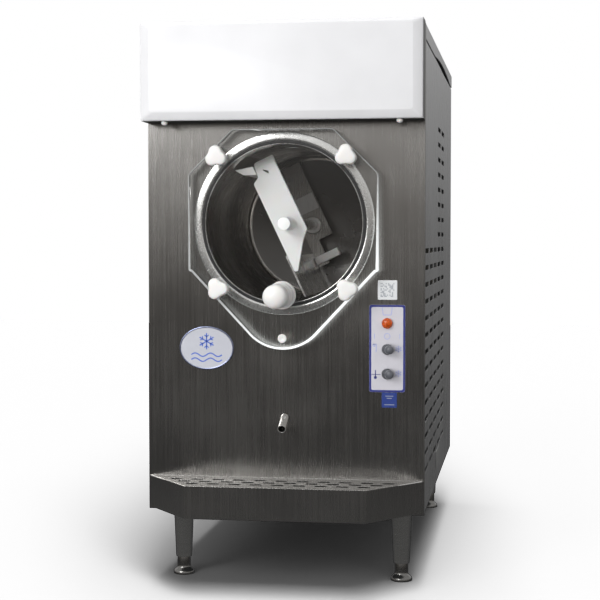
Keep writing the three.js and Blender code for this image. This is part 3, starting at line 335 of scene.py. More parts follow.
UPRIGHT, ALONG_LEG, NO_GRAIN = (1500, 1500, 9), (300, 300, 1500), (700, 700, 700)
brushed_steel("stainless", (0.40, 0.39, 0.375), UPRIGHT)
brushed_steel("side_steel", (0.64, 0.64, 0.64), (1500, 1500, 11), roughness=0.28)
brushed_steel("leg_steel", (0.47, 0.465, 0.45), ALONG_LEG, roughness=0.27, anisotropy=0.3)
# the feet in a darker copy of the legs' steel: painted shade low under the cabinet
brushed_steel("foot_steel_painted_shade", (0.24, 0.235, 0.225), ALONG_LEG, roughness=0.26, anisotropy=0.3)
# a near-black copy of the steel, for painted shade
brushed_steel("painted_shade_steel", (0.10, 0.10, 0.095), (300, 300, 900), roughness=0.36, anisotropy=0.0)
brushed_steel("rim_blue", (0.27, 0.30, 0.44), NO_GRAIN, roughness=0.3, anisotropy=0.0)
brushed_steel("label_metal", (0.66, 0.66, 0.65), (1400, 12, 1400), roughness=0.36)
polished_steel("polished_steel")
bore_steel("bore_wall", (0.50, 0.48, 0.455))
# the bore's far end in a much darker copy of the bore steel: painted shade deep in the cylinder
bore_steel("bore_end_painted_shade", (0.14, 0.135, 0.13))
galvanised_steel("galvanised")
painted("sign_white", (0.76, 0.76, 0.775), 0.34, 260.0)
painted("grey_paint", (0.22, 0.24, 0.26), 0.4)
painted("black_paint", (0.018, 0.018, 0.02), 0.34)
moulded_plastic("white_plastic", (0.79, 0.78, 0.765))
# a whiter copy of the white plastic for the beater: painted light for its parts inside the cylinder
moulded_plastic("beater_painted_light_white", (0.96, 0.955, 0.945))
moulded_plastic("black_plastic", (0.022, 0.022, 0.024), 0.45, 0.0)
clear_plastic("clear_plastic")
frosted_edge("frosted_edge")
rubber("black_rubber", (0.012, 0.012, 0.013))
rubber("grey_rubber", (0.075, 0.078, 0.09), 0.26)
copper("copper")
foam("foam")
condenser_metal("condenser_metal")
lamp_lens("amber_lens")
printed("control_print", (0.55, 0.54, 0.585))
printed("label_white", (0.46, 0.47, 0.52))
printed("label_blue", (0.014, 0.038, 0.21))
printed("code_paper", (0.66, 0.67, 0.68))
printed("print_blue", (0.018, 0.026, 0.19), 0.4)
printed("print_grey", (0.34, 0.36, 0.39), 0.4)
printed("print_pale", (0.36, 0.40, 0.66), 0.4)
printed("badge_blue", (0.06, 0.13, 0.52), 0.4)


# ---------------------------------------------------------------- pieces


def piece_of(name, data):
    piece = bpy.data.objects.new(name, data)
    bpy.context.scene.collection.objects.link(piece)
    return piece


def mesh_of(name, vertices, loops):
    data = bpy.data.meshes.new(name)
    data.from_pydata([tuple(v) for v in vertices], [], loops)
    shell = bmesh.new()
    shell.from_mesh(data)
    bmesh.ops.remove_doubles(shell, verts=shell.verts, dist=1e-7)
    bmesh.ops.recalc_face_normals(shell, faces=shell.faces)
    shell.to_mesh(data)
    shell.free()
    return data


def soften(piece, width=0, segments=2, angle=30):
    """Rounds the sharp edges by width in millimetres, and shades the rest smooth."""
    piece.data.shade_smooth()
    if width:
        bevel = piece.modifiers.new("rounding", "BEVEL")
        bevel.width = width * MM
        bevel.segments = segments
        bevel.limit_method = "ANGLE"
        bevel.angle_limit = math.radians(angle)
        bevel.harden_normals = True
        bevel.use_clamp_overlap = True
    else:
        piece.data.set_sharp_from_angle(angle=math.radians(angle))
    return piece


def settle(piece, body, slot):
    """Puts a finished piece on its body, in its slot's material."""
    piece.data.materials.clear()
    piece.data.materials.append(MATERIALS[slot])
    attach(piece, body)
    return piece


def stand_for(piece, node):
    """Puts a finished piece in the place of a CAD node, on the node's body and in its slot."""
    settle(piece, BODIES[node], SLOTS[node])
    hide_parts(node)
    return piece


def repaint(piece, material, chosen=lambda face: True):
    """Adds a material to a piece, on the faces that are chosen."""
    piece.data.materials.append(MATERIALS[material])
    for face in piece.data.polygons:
        if chosen(face):
            face.material_index = len(piece.data.materials) - 1


def decorate(piece, material):
    """Puts print or trim, which has no slot of its own, on the cabinet."""
    piece.data.materials.append(MATERIALS[material])
    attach(piece, "cabinet")


def baked(piece):
    """The piece with its modifiers applied."""
    piece.data = bpy.data.meshes.new_from_object(
        piece.evaluated_get(bpy.context.evaluated_depsgraph_get()))
    piece.modifiers.clear()
    return piece


def joined(name, pieces):
    """Several pieces as one, each still a shell of its own, with their modifiers applied."""
    whole = bmesh.new()
    for piece in pieces:
        if piece.modifiers:
            baked(piece)
        whole.from_mesh(piece.data)
        bpy.data.objects.remove(piece)
    data = bpy.data.meshes.new(name)
    whole.to_mesh(data)
    whole.free()
    return piece_of(name, data)


def carved(piece, cutters, crossing=False):
    """Cuts the cutters out of the piece, and removes them. crossing says that the piece's own shells
    run into each other: they come out as one."""
    for cutter in cutters:
        step = piece.modifiers.new("cut", "BOOLEAN")
        step.object = cutter
        step.operation = "DIFFERENCE"
        step.solver = "EXACT"
        step.use_self = crossing
    baked(piece)
    for cutter in cutters:
        bpy.data.objects.remove(cutter)
    return piece


def bow(across, along, width, height, degrees):
    """Points at those degrees on an ellipse, whose middle is at (across, along)."""
    return [(across + width * math.cos(math.radians(t)), along + height * math.sin(math.radians(t)))
            for t in degrees]


def arc(cx, cy, radius, start, end, steps):
    """Points along an arc, from start to end in degrees."""
    return bow(cx, cy, radius, radius, [start + (end - start) * i / steps for i in range(steps + 1)])


def ellipse(x, z, a, b, steps=96):
    return bow(x, z, a, b, [360 * i / steps for i in range(steps)])


def dome(radius, height, tip, step):
    """The profile of a round end, from its tip on the axis to its full radius."""
    return [(radius * math.sin(math.radians(t)), tip + height * (1 - math.cos(math.radians(t))))
            for t in range(0, 91, step)]


def turned(name, profile, centre=(0, 0, AXIS), axis="Y", sides=ROUND):
    """A profile of (radius, distance along the axis) in millimetres, turned about an axis through centre."""
    closed = profile[0] == profile[-1]
    points = profile[:-1] if closed else profile
    vertices, rings = [], []
    for radius, distance in points:
        ring = []
        for i in range(sides if radius > 0 else 1):
            turn = 2 * math.pi * i / sides
            across, up = radius * math.cos(turn), radius * math.sin(turn)
            offset = (across, distance, up) if axis == "Y" else (across, up, distance)
            ring.append(len(vertices))
            vertices.append(at(*(c + o for c, o in zip(centre, offset))))
        rings.append(ring)
    loops = []
    pairs = list(zip(rings, rings[1:])) + ([(rings[-1], rings[0])] if closed else [])
    for first, second in pairs:
        for i in range(sides):
            corners = [first[i % len(first)], first[(i + 1) % len(first)],
                       second[(i + 1) % len(second)], second[i % len(second)]]
            corners = list(dict.fromkeys(corners))
            if len(corners) > 2:
                loops.append(corners)
    return piece_of(name, mesh_of(name, vertices, loops))


def drill(radius, limits, centre=(0, 0, AXIS), axis="Y", sides=ROUND):
    """A plain round cutter or rod between two distances along the axis."""
    start, end = limits
    return turned("drill", [(0, start), (radius, start), (radius, end), (0, end)], centre, axis, sides)


def prism(name, outline, limits, plane="XZ"):
    """An outline filled between two limits on the axis that its plane leaves out, in millimetres."""
    order = {
        "XZ": lambda a, b, d: (a, d, b),
        "YZ": lambda a, b, d: (d, a, b),
        "XY": lambda a, b, d: (a, b, d),
    }
    vertices = [at(*order[plane](a, b, limit)) for limit in limits for a, b in outline]
    count = len(outline)
    loops = [list(range(count)), list(range(count, 2 * count))]
    for i in range(count):
        j = (i + 1) % count
        loops.append([i, j, count + j, count + i])
    return piece_of(name, mesh_of(name, vertices, loops))


def box_piece(name, x, y, z):
    return prism(name, [(x[0], z[0]), (x[1], z[0]), (x[1], z[1]), (x[0], z[1])], y)


def rounded_rectangle(width, height, radius, x=0.0, z=0.0):
    a, b = width / 2 - radius, height / 2 - radius
    corners = ((a, b, 0), (-a, b, 90), (-a, -b, 180), (a, -b, 270))
    return [p for cx, cz, start in corners for p in arc(x + cx, z + cz, radius, start, start + 90, 6)]


def rounded_polygon(points, radius):
    """A polygon with its corners rounded, each curve starting that far from its corner."""
    outline = []
    for i, point in enumerate(points):
        here = Vector(point)
        before, after = Vector(points[i - 1]), Vector(points[(i + 1) % len(points)])
        start = here + (before - here).normalized() * min(radius, (here - before).length * 0.45)
        end = here + (after - here).normalized() * min(radius, (after - here).length * 0.45)
        for t in (0, 0.25, 0.5, 0.75, 1):
            outline.append(tuple(start * (1 - t) ** 2 + here * 2 * t * (1 - t) + end * t ** 2))
    return outline


def lofted(name, rings, around=False):
    """Rings of the same number of points in millimetres, joined in order. The ends are closed, or with
    around the last ring is joined to the first."""
    count = len(rings[0])
    vertices = [at(*p) for ring in rings for p in ring]
    loops = [] if around else [list(range(count)), list(range(len(vertices) - count, len(vertices)))]
    for i in range(len(rings) if around else len(rings) - 1):
        here, after = i * count, (i + 1) % len(rings) * count
        for k in range(count):
            j = (k + 1) % count
            loops.append([here + k, here + j, after + j, after + k])
    return piece_of(name, mesh_of(name, vertices, loops))


def swept(name, points, radius, sides=16, bore=0.0):
    """A tube through points in millimetres, bored where bore is given."""
    path = [at(*p) for p in points]
    walls = (radius, bore) if bore else (radius,)
    vertices, loops = [], []
    side = None
    for i, place in enumerate(path):
        ahead = (path[min(i + 1, len(path) - 1)] - path[max(i - 1, 0)]).normalized()
        side = ahead.orthogonal() if side is None else side - ahead * side.dot(ahead)
        side.normalize()
        up = ahead.cross(side)
        for wall in walls:
            for k in range(sides):
                turn = 2 * math.pi * k / sides
                vertices.append(place + (side * math.cos(turn) + up * math.sin(turn)) * wall * MM)

    def corner(i, wall, k):
        return (i * len(walls) + wall) * sides + k % sides

    for i in range(len(path) - 1):
        for wall in range(len(walls)):
            for k in range(sides):
                loops.append([corner(i, wall, k), corner(i, wall, k + 1),
                              corner(i + 1, wall, k + 1), corner(i + 1, wall, k)])
    for i in (0, len(path) - 1):
        if bore:
            loops += [[corner(i, 0, k), corner(i, 0, k + 1), corner(i, 1, k + 1), corner(i, 1, k)]
                      for k in range(sides)]
        else:
            loops.append([corner(i, 0, k) for k in range(sides)])
    return piece_of(name, mesh_of(name, vertices, loops))


# ---------------------------------------------------------------- cabinet

# How round the edges of the sheet metal pieces are, in millimetres.
SHEET_PIECES = {
    "front_panel": 1.5, "left_panel": 0.45, "right_panel": 0.45, "rear_panel": 0.45, "top_lid": 0.6,
    "base_pan": 0.5, "mix_hopper": 0.6, "rear_bulkhead": 0.5, "stud_plate": 0.4, "fan_shroud": 0.5,
    "drip_tray": 0.7, "drip_grille": 0.5, "header_shell": 0.8, "control_box": 0.8,
}
TRAY_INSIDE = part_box("drip_tray")[1].z - 4 * MM
# painted shade: the tray's basin floor under the grille and the sign box's sides and underside are painted in
# dark steel
PAINTED_SHADE_FACES = {
    "drip_tray": lambda face: face.normal.z > 0.5 and face.center.z < TRAY_INSIDE,
    "header_shell": lambda face: abs(face.normal.x) > 0.7 or face.normal.z < -0.7,
}


def sheet_metal(node, width):
    """A copy of a CAD node's sheet metal with rounded edges."""
    data = frame["nodes"][node].data.copy()
    shell = bmesh.new()
    shell.from_mesh(data)
    bmesh.ops.remove_doubles(shell, verts=shell.verts, dist=1e-6)
    bmesh.ops.dissolve_limit(shell, angle_limit=math.radians(1), verts=shell.verts, edges=shell.edges)
    shell.to_mesh(data)
    shell.free()
    for name in [a.name for a in data.attributes if a.name == "custom_normal"]:
        data.attributes.remove(data.attributes[name])
    piece = stand_for(soften(piece_of(node + "_sheet", data), width), node)
    if node in PAINTED_SHADE_FACES:
        repaint(piece, "painted_shade_steel", PAINTED_SHADE_FACES[node])


def header_face():
    """The vacuum-formed face of the sign box: a raised blank field inside sloping borders."""
    half = faces("header_sign", "x")[1]
    front, back = faces("header_sign", "y")
    bottom, top = faces("header_sign", "z")
    side_border, bottom_border, top_border = 12.5, 10.5, 4.5
    # how far in from the rim, how far behind the field, and how round the corners are
    steps = ((0.0, back - front, 3.0), (0.0, 3.7, 3.0), (0.04, 3.0, 3.2), (0.90, 0.9, 4.2), (0.97, 0.3, 4.6),
             (1.06, 0.0, 5.0))
    rings = []
    for share, depth, radius in steps:
        width = 2 * (half - share * side_border)
        height = top - bottom - share * (bottom_border + top_border)
        centre = (top + bottom) / 2 + share * (bottom_border - top_border) / 2
        rings.append([(x, front + depth, z) for x, z in rounded_rectangle(width, height, radius, 0, centre)])
    stand_for(soften(lofted("sign_face", rings), angle=70), "header_sign")


def header_screws():
    for node in ("header_screw_left", "header_screw_right"):
        centre = middle(node)
        bottom, top = faces(node, "z")
        head, shank, height = 4.5, 1.9, 5.5
        profile = dome(head, 3.2, bottom, 15)
        profile += [(head, bottom + height), (shank, bottom + height), (shank, top), (0, top)]
        piece = turned(node + "_cap", profile, (centre.x, centre.y, 0), "Z", 32)
        stand_for(soften(piece, 0.3), node)


def drain_tube():
    """A level tube that bends down past the panel to its mouth."""
    height = faces("drain_tube", "z")[1] - 6.0
    mouth = faces("drain_tube", "y")[0] + 2.5
    path = [(0, 50 - 8 * i, height) for i in range(6)]
    path += [(0, 2 - 13 * t, height - 6.0 * t * t) for t in (0.1, 0.3, 0.5, 0.7, 0.9)]
    path += [(0, -11.5 + (mouth + 11.5) * t, height - 5.6 - 7.6 * t) for t in (0.1, 0.5, 1.0)]
    stand_for(soften(swept("drain_spout", path, 5.9, 40, bore=5.0), 0.25), "drain_tube")


def sheet_screws():
    """Pan-head screws that hold the rear sheet, with crossed recesses."""
    y = faces("rear_panel", "y")[1]
    profile = [(0, 2.0), (1.6, 2.0), (2.6, 1.5), (3.6, 0.6), (3.8, 0.05), (0, 0.05)]
    places = [(x, z) for z in (28, 330, 640) for x in (-168, 168)]
    for i, (x, z) in enumerate(places):
        screw = turned(f"rear_screw_{i}", profile, (x, y, z), sides=24)
        recess = [box_piece("recess", (x - a, x + a), (y + 1.2, y + 4), (z - b, z + b))
                  for a, b in ((2.2, 0.4), (0.4, 2.2))]
        settle(soften(carved(screw, recess), 0.12), "cabinet", "polished_steel")


def cable_gland():
    centre = middle("cable_gland")
    place = (centre.x, 0, centre.z)
    inner, outer = faces("cable_gland", "y")
    sleeve = turned("gland_sleeve", [
        (4.6, inner), (8.6, inner), (8.6, outer - 11.6), (10.6, outer - 8.6), (10.4, outer - 3.0),
        (8.2, outer - 0.4), (5.2, outer), (4.6, outer - 0.6), (4.6, inner),
    ], place)
    nut = prism("gland_nut", arc(centre.x, centre.z, 13, 0, 300, 5), (outer - 11.6, outer - 6.2))
    piece = joined("gland_body", [sleeve, carved(nut, [drill(9.4, (inner, outer), place)])])
    stand_for(soften(piece, 0.5), "cable_gland")


def tray_hem():
    """The rolled hem round the top of the drip tray: full width at the panel, narrower in front."""
    radius, reach = 0.95, faces("drip_tray", "y")[0]
    height = faces("drip_tray", "z")[1] - radius
    rear_half, front_half = faces("drip_tray", "x")[1] - 1.2, 123.3
    front, rear = reach + radius, -1.4
    corners = [(-front_half, front), (front_half, front), (rear_half, rear), (-rear_half, rear)]
    path = [(x, y, height) for x, y in rounded_polygon(corners, 4.0)]
    settle(soften(swept("tray_hem", path + path[:2], radius, 12), angle=60), "drip_tray", "polished_steel")


for node, width in SHEET_PIECES.items():
    sheet_metal(node, width)
tray_hem()
header_face()
header_screws()
drain_tube()
sheet_screws()
cable_gland()


# ---------------------------------------------------------------- freezing cylinder

FLANGE_FRONT, CYLINDER_BACK = faces("freezing_cylinder", "y")
FEED = middle("feed_tube")


def freezing_cylinder():
    """The bore with its turned flange: a broken rim, a face that curves back to it, and the gasket's
    groove."""
    rim = bow(126.0, FLANGE_FRONT + 1.8, 1.0, -1.0, (0, 25, 50, 72))
    crown = [(r, FLANGE_FRONT + (r - 116.5) ** 2 / 120) for r in (125, 123.5, 122, 120, 118, 116.5)]
    groove = [(115.5, FLANGE_FRONT + 0.6), (115.5, FLANGE_FRONT + 4.2), (111.2, FLANGE_FRONT + 4.2)]
    inner_lip = bow(110.6, FLANGE_FRONT + 0.6, 0.6, -0.6, (0, 45, 90, 135, 180))
    back_fillet = bow(104, CYLINDER_BACK - 9, 6, 6, (0, 30, 60, 90))
    outside = (111.4, CYLINDER_BACK - 1)
    profile = [outside, (111.4, -0.3), (127.0, -0.3)] + rim + crown + groove + inner_lip + back_fillet
    profile += [(12.0, CYLINDER_BACK - 3), (12.0, CYLINDER_BACK), (109, CYLINDER_BACK), outside]
    piece = turned("cylinder_shell", profile, sides=128)
    holes = [drill(9.8, (100, 118), (FEED.x, FEED.y, AXIS), "Z", 32)]
    holes += [drill(5, (-20, 5), (x * 90, 0, AXIS + z * 90), sides=24) for x in (-1, 1) for z in (-1, 1)]
    stand_for(soften(carved(piece, holes), angle=32), "freezing_cylinder")
    axis = at(0, 0, AXIS)

    def bored(face, radius):
        across = Vector((face.center.x - axis.x, 0, face.center.z - axis.z)).length
        return face.center.y > axis.y - 4.5 * MM and across < radius * MM

    repaint(piece, "bore_wall", lambda face: bored(face, 111.2))
    # the far end of the bore is painted dark, as painted shade
    repaint(piece, "bore_end_painted_shade", lambda face: bored(face, 103))


def gasket():
    front, back = faces("faceplate_gasket", "y")
    crown = bow(113.3, front + 1.4, 1.95, -1.4, range(0, 181, 30))
    piece = turned("gasket_ring", crown + [(111.6, back), (115.0, back), crown[0]], sides=128)
    stand_for(soften(piece, angle=60), "faceplate_gasket")


def evaporator_coil():
    front, back = faces("evaporator_coil", "y")
    tube, turns, per_turn = 4.0, 5, 48
    start, end = front + tube, back - tube
    left, right = faces("evaporator_coil", "x")
    radius = (right - left) / 2 - tube
    path = []
    for i in range(turns * per_turn + 1):
        t = i / (turns * per_turn)
        angle = 2 * math.pi * turns * t
        path.append((radius * math.sin(angle), start + (end - start) * t, AXIS + radius * math.cos(angle)))
    stand_for(soften(swept("coil_tube", path, tube, 14), 0.3), "evaporator_coil")


def insulation():
    front, back = faces("insulation_jacket", "y")
    left, right = faces("insulation_jacket", "x")
    inner, outer = 123.7, (right - left) / 2
    lumps, edge = 12, outer - 6
    swell = [(outer - 1.4 + 1.3 * math.sin(i * 2.1), front + 4 + (back - front - 8) * i / lumps)
             for i in range(lumps + 1)]
    profile = [(inner, front), (edge, front)] + swell + [(edge, back), (inner, back), (inner, front)]
    piece = turned("foam_jacket", profile, sides=96)
    hole = drill(12, (110, 156), (FEED.x, FEED.y, AXIS), "Z", 24)
    stand_for(soften(carved(piece, [hole]), angle=50), "insulation_jacket")


def feed_tube():
    bottom, top = faces("feed_tube", "z")
    outer, inner = 9.4, 7.5
    profile = [(inner, bottom), (outer, bottom), (outer, bottom + 42), (outer, top), (inner, top),
               (inner, bottom)]
    piece = turned("feed_pipe", profile, (FEED.x, FEED.y, 0), "Z")
    hole = drill(3, (-20, 0), (FEED.x, FEED.y, bottom + 56), sides=24)
    stand_for(soften(carved(piece, [hole]), 0.4), "feed_tube")


freezing_cylinder()
gasket()
evaporator_coil()
insulation()
feed_tube()


# ---------------------------------------------------------------- faceplate, knobs and valve

PLATE_FRONT, PLATE_BACK = faces("faceplate", "y")
VALVE_Z = middle("valve_plunger").z
CORNERS = ("top_left", "top_right", "bottom_left", "bottom_right")
STUDS = {corner: middle("knob_" + corner) for corner in CORNERS}


def inset(outline, distance):
    """A convex anticlockwise outline moved in by a distance."""
    moved = []
    for i, point in enumerate(outline):
        here = Vector(point)
        before = (here - Vector(outline[i - 1])).normalized()
        after = (Vector(outline[(i + 1) % len(outline)]) - here).normalized()
        inward = Vector((-before.y - after.y, before.x + after.x)).normalized()
        across = Vector((-before.y, before.x)).dot(inward)
        moved.append(tuple(here + inward * distance / across))
    return moved


def faceplate():
    """The clear cover with the holes of its studs, its valve and its spout, and its sawn edge, which has a
    painted glow all round."""
    half = faces("faceplate", "x")[1]
    bottom, top = faces("faceplate", "z")
    chamfer, chin = 62, 64
    lower_corner = AXIS - 67
    corners = [(half, lower_corner), (half, top - chamfer), (half - chamfer, top), (chamfer - half, top),
               (-half, top - chamfer), (-half, lower_corner)]
    outline = rounded_polygon(corners, 4.0)
    outline += arc(0, bottom + chin, chin, 225, 315, 28)
    broken, wider, skin = 0.8, 1.9, 0.35

    def ring(distance, y):
        """The outline moved in. Below the axis its front edge is broken wider."""
        points = inset(outline, distance)
        if y == PLATE_FRONT:
            lower = inset(outline, distance + wider)
            points = [below if below[1] < AXIS else point for point, below in zip(points, lower)]
        return [(x, y, z) for x, z in points]

    def shell(distance):
        """The rings of the plate from its back to its front, moved in all round."""
        return [ring(broken + distance, PLATE_BACK), ring(distance, PLATE_BACK - broken - skin),
                ring(distance, PLATE_FRONT + broken + skin), ring(broken + distance, PLATE_FRONT)]

    outside = [ring(broken, PLATE_FRONT), ring(0, PLATE_FRONT + broken), ring(0, PLATE_BACK - broken),
               ring(broken, PLATE_BACK)]
    edge = lofted("cover_edge", outside + shell(skin), around=True)
    settle(soften(edge, angle=12), "cabinet", "clear_plastic")
    # the edge gets the frosted material with its painted glow
    edge.data.materials[0] = MATERIALS["frosted_edge"]
    plate = lofted("clear_cover", shell(skin + 0.02))
    stand_for(plate, "faceplate")
    through = (PLATE_FRONT - 3, PLATE_BACK + 3)
    cutters = [drill(4.6, through, (place.x, 0, place.z), sides=32) for place in STUDS.values()]
    cutters.append(drill(13.0, through, (0, 0, VALVE_Z)))
    cutters.append(drill(3.5, (PLATE_FRONT - 3, PLATE_FRONT + 2.4), (0, 0, middle("spout_plug").z), sides=32))
    carved(plate, cutters)
    soften(plate, angle=12)
    # light goes straight through the clear sheet, so only what is seen through it meets its surfaces
    plate.visible_shadow = False
    plate.visible_glossy = False
    plate.visible_diffuse = False


def lobed_ring(centre, y, scale, turn):
    """A rounded triangle, turned and scaled about a stud."""
    ring = []
    count = 72
    for i in range(count):
        angle = 2 * math.pi * i / count
        lobes = 13.7 + 2.0 * math.cos(3 * (angle - turn)) - 0.25 * math.cos(6 * (angle - turn))
        radius = lobes * scale
        ring.append((centre.x + radius * math.cos(angle), y, centre.z + radius * math.sin(angle)))
    return ring


def faceplate_knobs():
    turns = {"top_left": 95, "top_right": 90, "bottom_left": 0, "bottom_right": 10}
    # how wide the head is, and how far behind its crown
    steps = ((0.30, -0.15), (0.55, 0.0), (0.78, 0.35), (0.90, 1.0), (0.97, 2.2), (1.0, 4.2),
             (1.0, 12.0), (0.985, 16.5), (0.93, 19.0), (0.86, 20.6))
    for corner, centre in STUDS.items():
        node, place = "knob_" + corner, (centre.x, 0, centre.z)
        front, back = faces(node, "y")
        turn = math.radians(turns[corner])
        rings = [lobed_ring(centre, front + 0.15 + depth, scale, turn) for scale, depth in steps]
        head = lofted("head", rings)
        profile = [(0, back - 3.2), (11.0, back - 3.2), (11.2, back - 0.4), (10.8, back), (0, back)]
        collar = turned("collar", profile, place)
        bore = drill(4.4, (back - 17, back + 2), place, sides=32)
        piece = carved(joined("lobed_" + node, [head, collar]), [bore], crossing=True)
        stand_for(soften(piece, angle=40), node)


def valve():
    """The valve's body on the cover, and the plunger with its long knob."""
    place, shoulder = (0, 0, VALVE_Z), PLATE_FRONT - 0.3
    front = faces("valve_sleeve", "y")[0]
    piece = turned("valve_body", [
        (9.1, front + 0.2), (17.6, front), (19.0, front + 0.8), (19.5, front + 2.2), (19.5, shoulder - 1.2),
        (19.1, shoulder), (12.7, shoulder), (12.7, PLATE_BACK - 0.4), (9.1, PLATE_BACK - 0.4),
        (9.1, front + 0.2),
    ], place, sides=72)
    spout_y = (PLATE_FRONT + PLATE_BACK) / 2
    outlet = drill(4.0, (VALVE_Z - 18, VALVE_Z), (0, spout_y, 0), "Z", 32)
    stand_for(soften(carved(piece, [outlet]), angle=28), "valve_sleeve")

    tip = faces("valve_plunger", "y")[0]
    back = front - 0.3
    profile = dome(16.3, 11.5, tip, 9) + [
        (16.5, tip + 16), (16.5, tip + 33), (16.1, tip + 33.8), (15.2, tip + 34.3), (15.2, tip + 35.7),
        (16.1, tip + 36.2), (16.5, tip + 37), (16.5, tip + 50), (17.6, tip + 52), (17.6, back - 1.2),
        (16.8, back), (8.7, back), (8.7, PLATE_BACK - 4.5), (7.6, PLATE_BACK - 4.2), (7.6, PLATE_BACK - 2.4),
        (8.7, PLATE_BACK - 2.1), (8.7, PLATE_BACK - 0.4), (0, PLATE_BACK - 0.4),
    ]
    stand_for(soften(turned("valve_knob", profile, place, sides=72), angle=28), "valve_plunger")


def spout_plug():
    centre = middle("spout_plug")
    back = PLATE_FRONT - 0.3
    profile = [(0, back - 1.2), (2.0, back - 1.3), (3.0, back - 2.0), (5.0, back - 2.2), (5.9, back - 1.7),
               (6.2, back - 0.8), (6.2, back), (3.2, back), (3.2, back + 2.3), (0, back + 2.3)]
    stand_for(soften(turned("chin_plug", profile, (centre.x, 0, centre.z)), angle=35), "spout_plug")


faceplate()
faceplate_knobs()
valve()
spout_plug()


# ---------------------------------------------------------------- beater

TILT = math.radians(25.5)
FRONT_PLATE = (37.0, 45.0)  # front and back of the beater's white plate
REAR_PLATE = (292.0, 297.0)
SHAFT_HOLE = 8.3


def beater_point(across, along):
    """A point of the leaning beater, as (x, z): across its plates, and along them down from the axis."""
    return (across * math.cos(TILT) + along * math.sin(TILT),
            AXIS + across * math.sin(TILT) - along * math.cos(TILT))


def beater_prism(name, outline, radius, limits):
    """A prism of the leaning beater, with its corners rounded."""
    return prism(name, [beater_point(a, b) for a, b in rounded_polygon(outline, radius)], limits)


def bend_end(piece, start, end, depth):
    """Bends a beater plate back beyond start, by depth at its end. Both are distances along it."""
    shell = bmesh.new()
    shell.from_mesh(piece.data)
    down = Vector((math.sin(TILT), 0, -math.cos(TILT)))
    for i in range(8):
        x, z = beater_point(0, start + (end - start) * i / 8)
        bmesh.ops.bisect_plane(shell, geom=shell.verts[:] + shell.edges[:] + shell.faces[:],
                               plane_co=at(x, 0, z), plane_no=down)
    x, z = beater_point(0, 0)
    for vertex in shell.verts:
        along = (vertex.co - at(x, 0, z)).dot(down) / MM
        share = (along - start) / (end - start)
        if share > 0:
            vertex.co.y += depth * MM * share ** 2
            vertex.co -= down * (0.12 * depth * MM * share ** 2 * (1 if end > start else -1))
    shell.to_mesh(piece.data)
    shell.free()


def beater_plate():
    """The white plate, its nose on the cover and the hub that holds it on the shaft."""
    front, back = FRONT_PLATE
    outline = [(-9, -100), (20.5, -100), (21, 17.5), (8, 31), (-16.5, 66), (-21, 65.5), (-21, -72),
               (-11, -77.5)]
    plate = beater_prism("plate", outline, 2.5, FRONT_PLATE)
    bend_end(plate, -84, -100, 7.0)
    hole_x, hole_z = beater_point(3, -81)
    slit = rounded_polygon([(-4.6, 2.6), (-3.4, 0.2), (4.2, -3.6), (3.2, 0.6)], 1.0)
    slot = prism("slot", [(hole_x + a, hole_z + b) for a, b in slit], (front - 4, back + 4))
    tip = PLATE_BACK + 1.6
    nose = turned("nose", [(0, tip), (7.6, tip), (8.9, tip + 0.6), (9.5, tip + 2.2), (9.5, front - 2),
                           (10.8, front - 0.6), (10.8, front + 1), (0, front + 1)])
    hub = turned("hub", [(0, back - 2), (14, back - 2), (14, back + 13), (13, back + 14), (0, back + 14)])
    carved(plate, [slot])
    bore = drill(SHAFT_HOLE, (back - 2, back + 16))
    piece = carved(joined("beater_front", [plate, nose, hub]), [bore], crossing=True)
    stand_for(soften(piece, 0.5, angle=35), "beater_plate")
    # the plate in the brighter beater white: painted light inside the cylinder
    repaint(piece, "beater_painted_light_white")


def beater_frame():
    """The steel plate at the back with its pad and hub, and the white foot on its arm."""
    front, back = REAR_PLATE
    outline = [(-9, -100), (20.5, -100), (21, 24), (-3, 24), (-3, 64), (-21, 64), (-21, -72), (-11, -77.5)]
    plate = beater_prism("rear", outline, 2.0, REAR_PLATE)
    pad = beater_prism("pad", [(-19.5, -48), (19.8, -48), (19.8, -21.5), (-19.5, -21.5)], 1.2,
                       (front - 4.0, front + 1))
    hub = turned("hub", [(0, front - 14), (12.6, front - 14), (14, front - 12.6), (14, back + 7),
                         (13, back + 8), (0, back + 8)])
    bore = drill(SHAFT_HOLE, (front - 16, back + 10))
    piece = carved(joined("beater_rear", [plate, pad, hub]), [bore], crossing=True)
    stand_for(soften(piece, 0.5, angle=35), "beater_frame")
    # the pad's and the hub's front faces in the lighter side steel: painted light on the dark back plate
    repaint(piece, "side_steel", lambda face: face.center.y < at(0, front - 3, 0).y)
    foot = beater_prism("beater_foot", [(-20, 48), (20, 48), (20, 60), (-20, 60)], 1.2,
                        (front - 16, front - 0.2))
    settle(soften(foot, 0.6), "beater", "white_plastic")
    # the foot in the brighter beater white: painted light at the back of the cylinder
    repaint(foot, "beater_painted_light_white")


def beater_shaft():
    front, back = faces("beater_shaft", "y")
    profile = [(0, front), (7.4, front), (8, front + 0.6), (8, 130), (7.6, 130.5), (7.6, 133), (8, 133.5),
               (8, back - 0.8), (7.2, back), (0, back)]
    stand_for(soften(turned("drive_shaft", profile)), "beater_shaft")


def scrapers():
    """The two blades that run the length of the beater."""
    length = (FRONT_PLATE[0], REAR_PLATE[1])
    upper = beater_prism("scraper_top", [(-11.5, -95), (-11.5, -82), (-29, -90), (-37, -101.5)], 0.8, length)
    stand_for(soften(upper, 0.5), "upper_scraper")
    blade = [(-21.3, 40), (-21.3, 103), (-22.2, 104), (-23.8, 102.5), (-23.8, 40)]
    stand_for(soften(beater_prism("scraper_blade", blade, 0.2, length), 0.2), "lower_scraper")


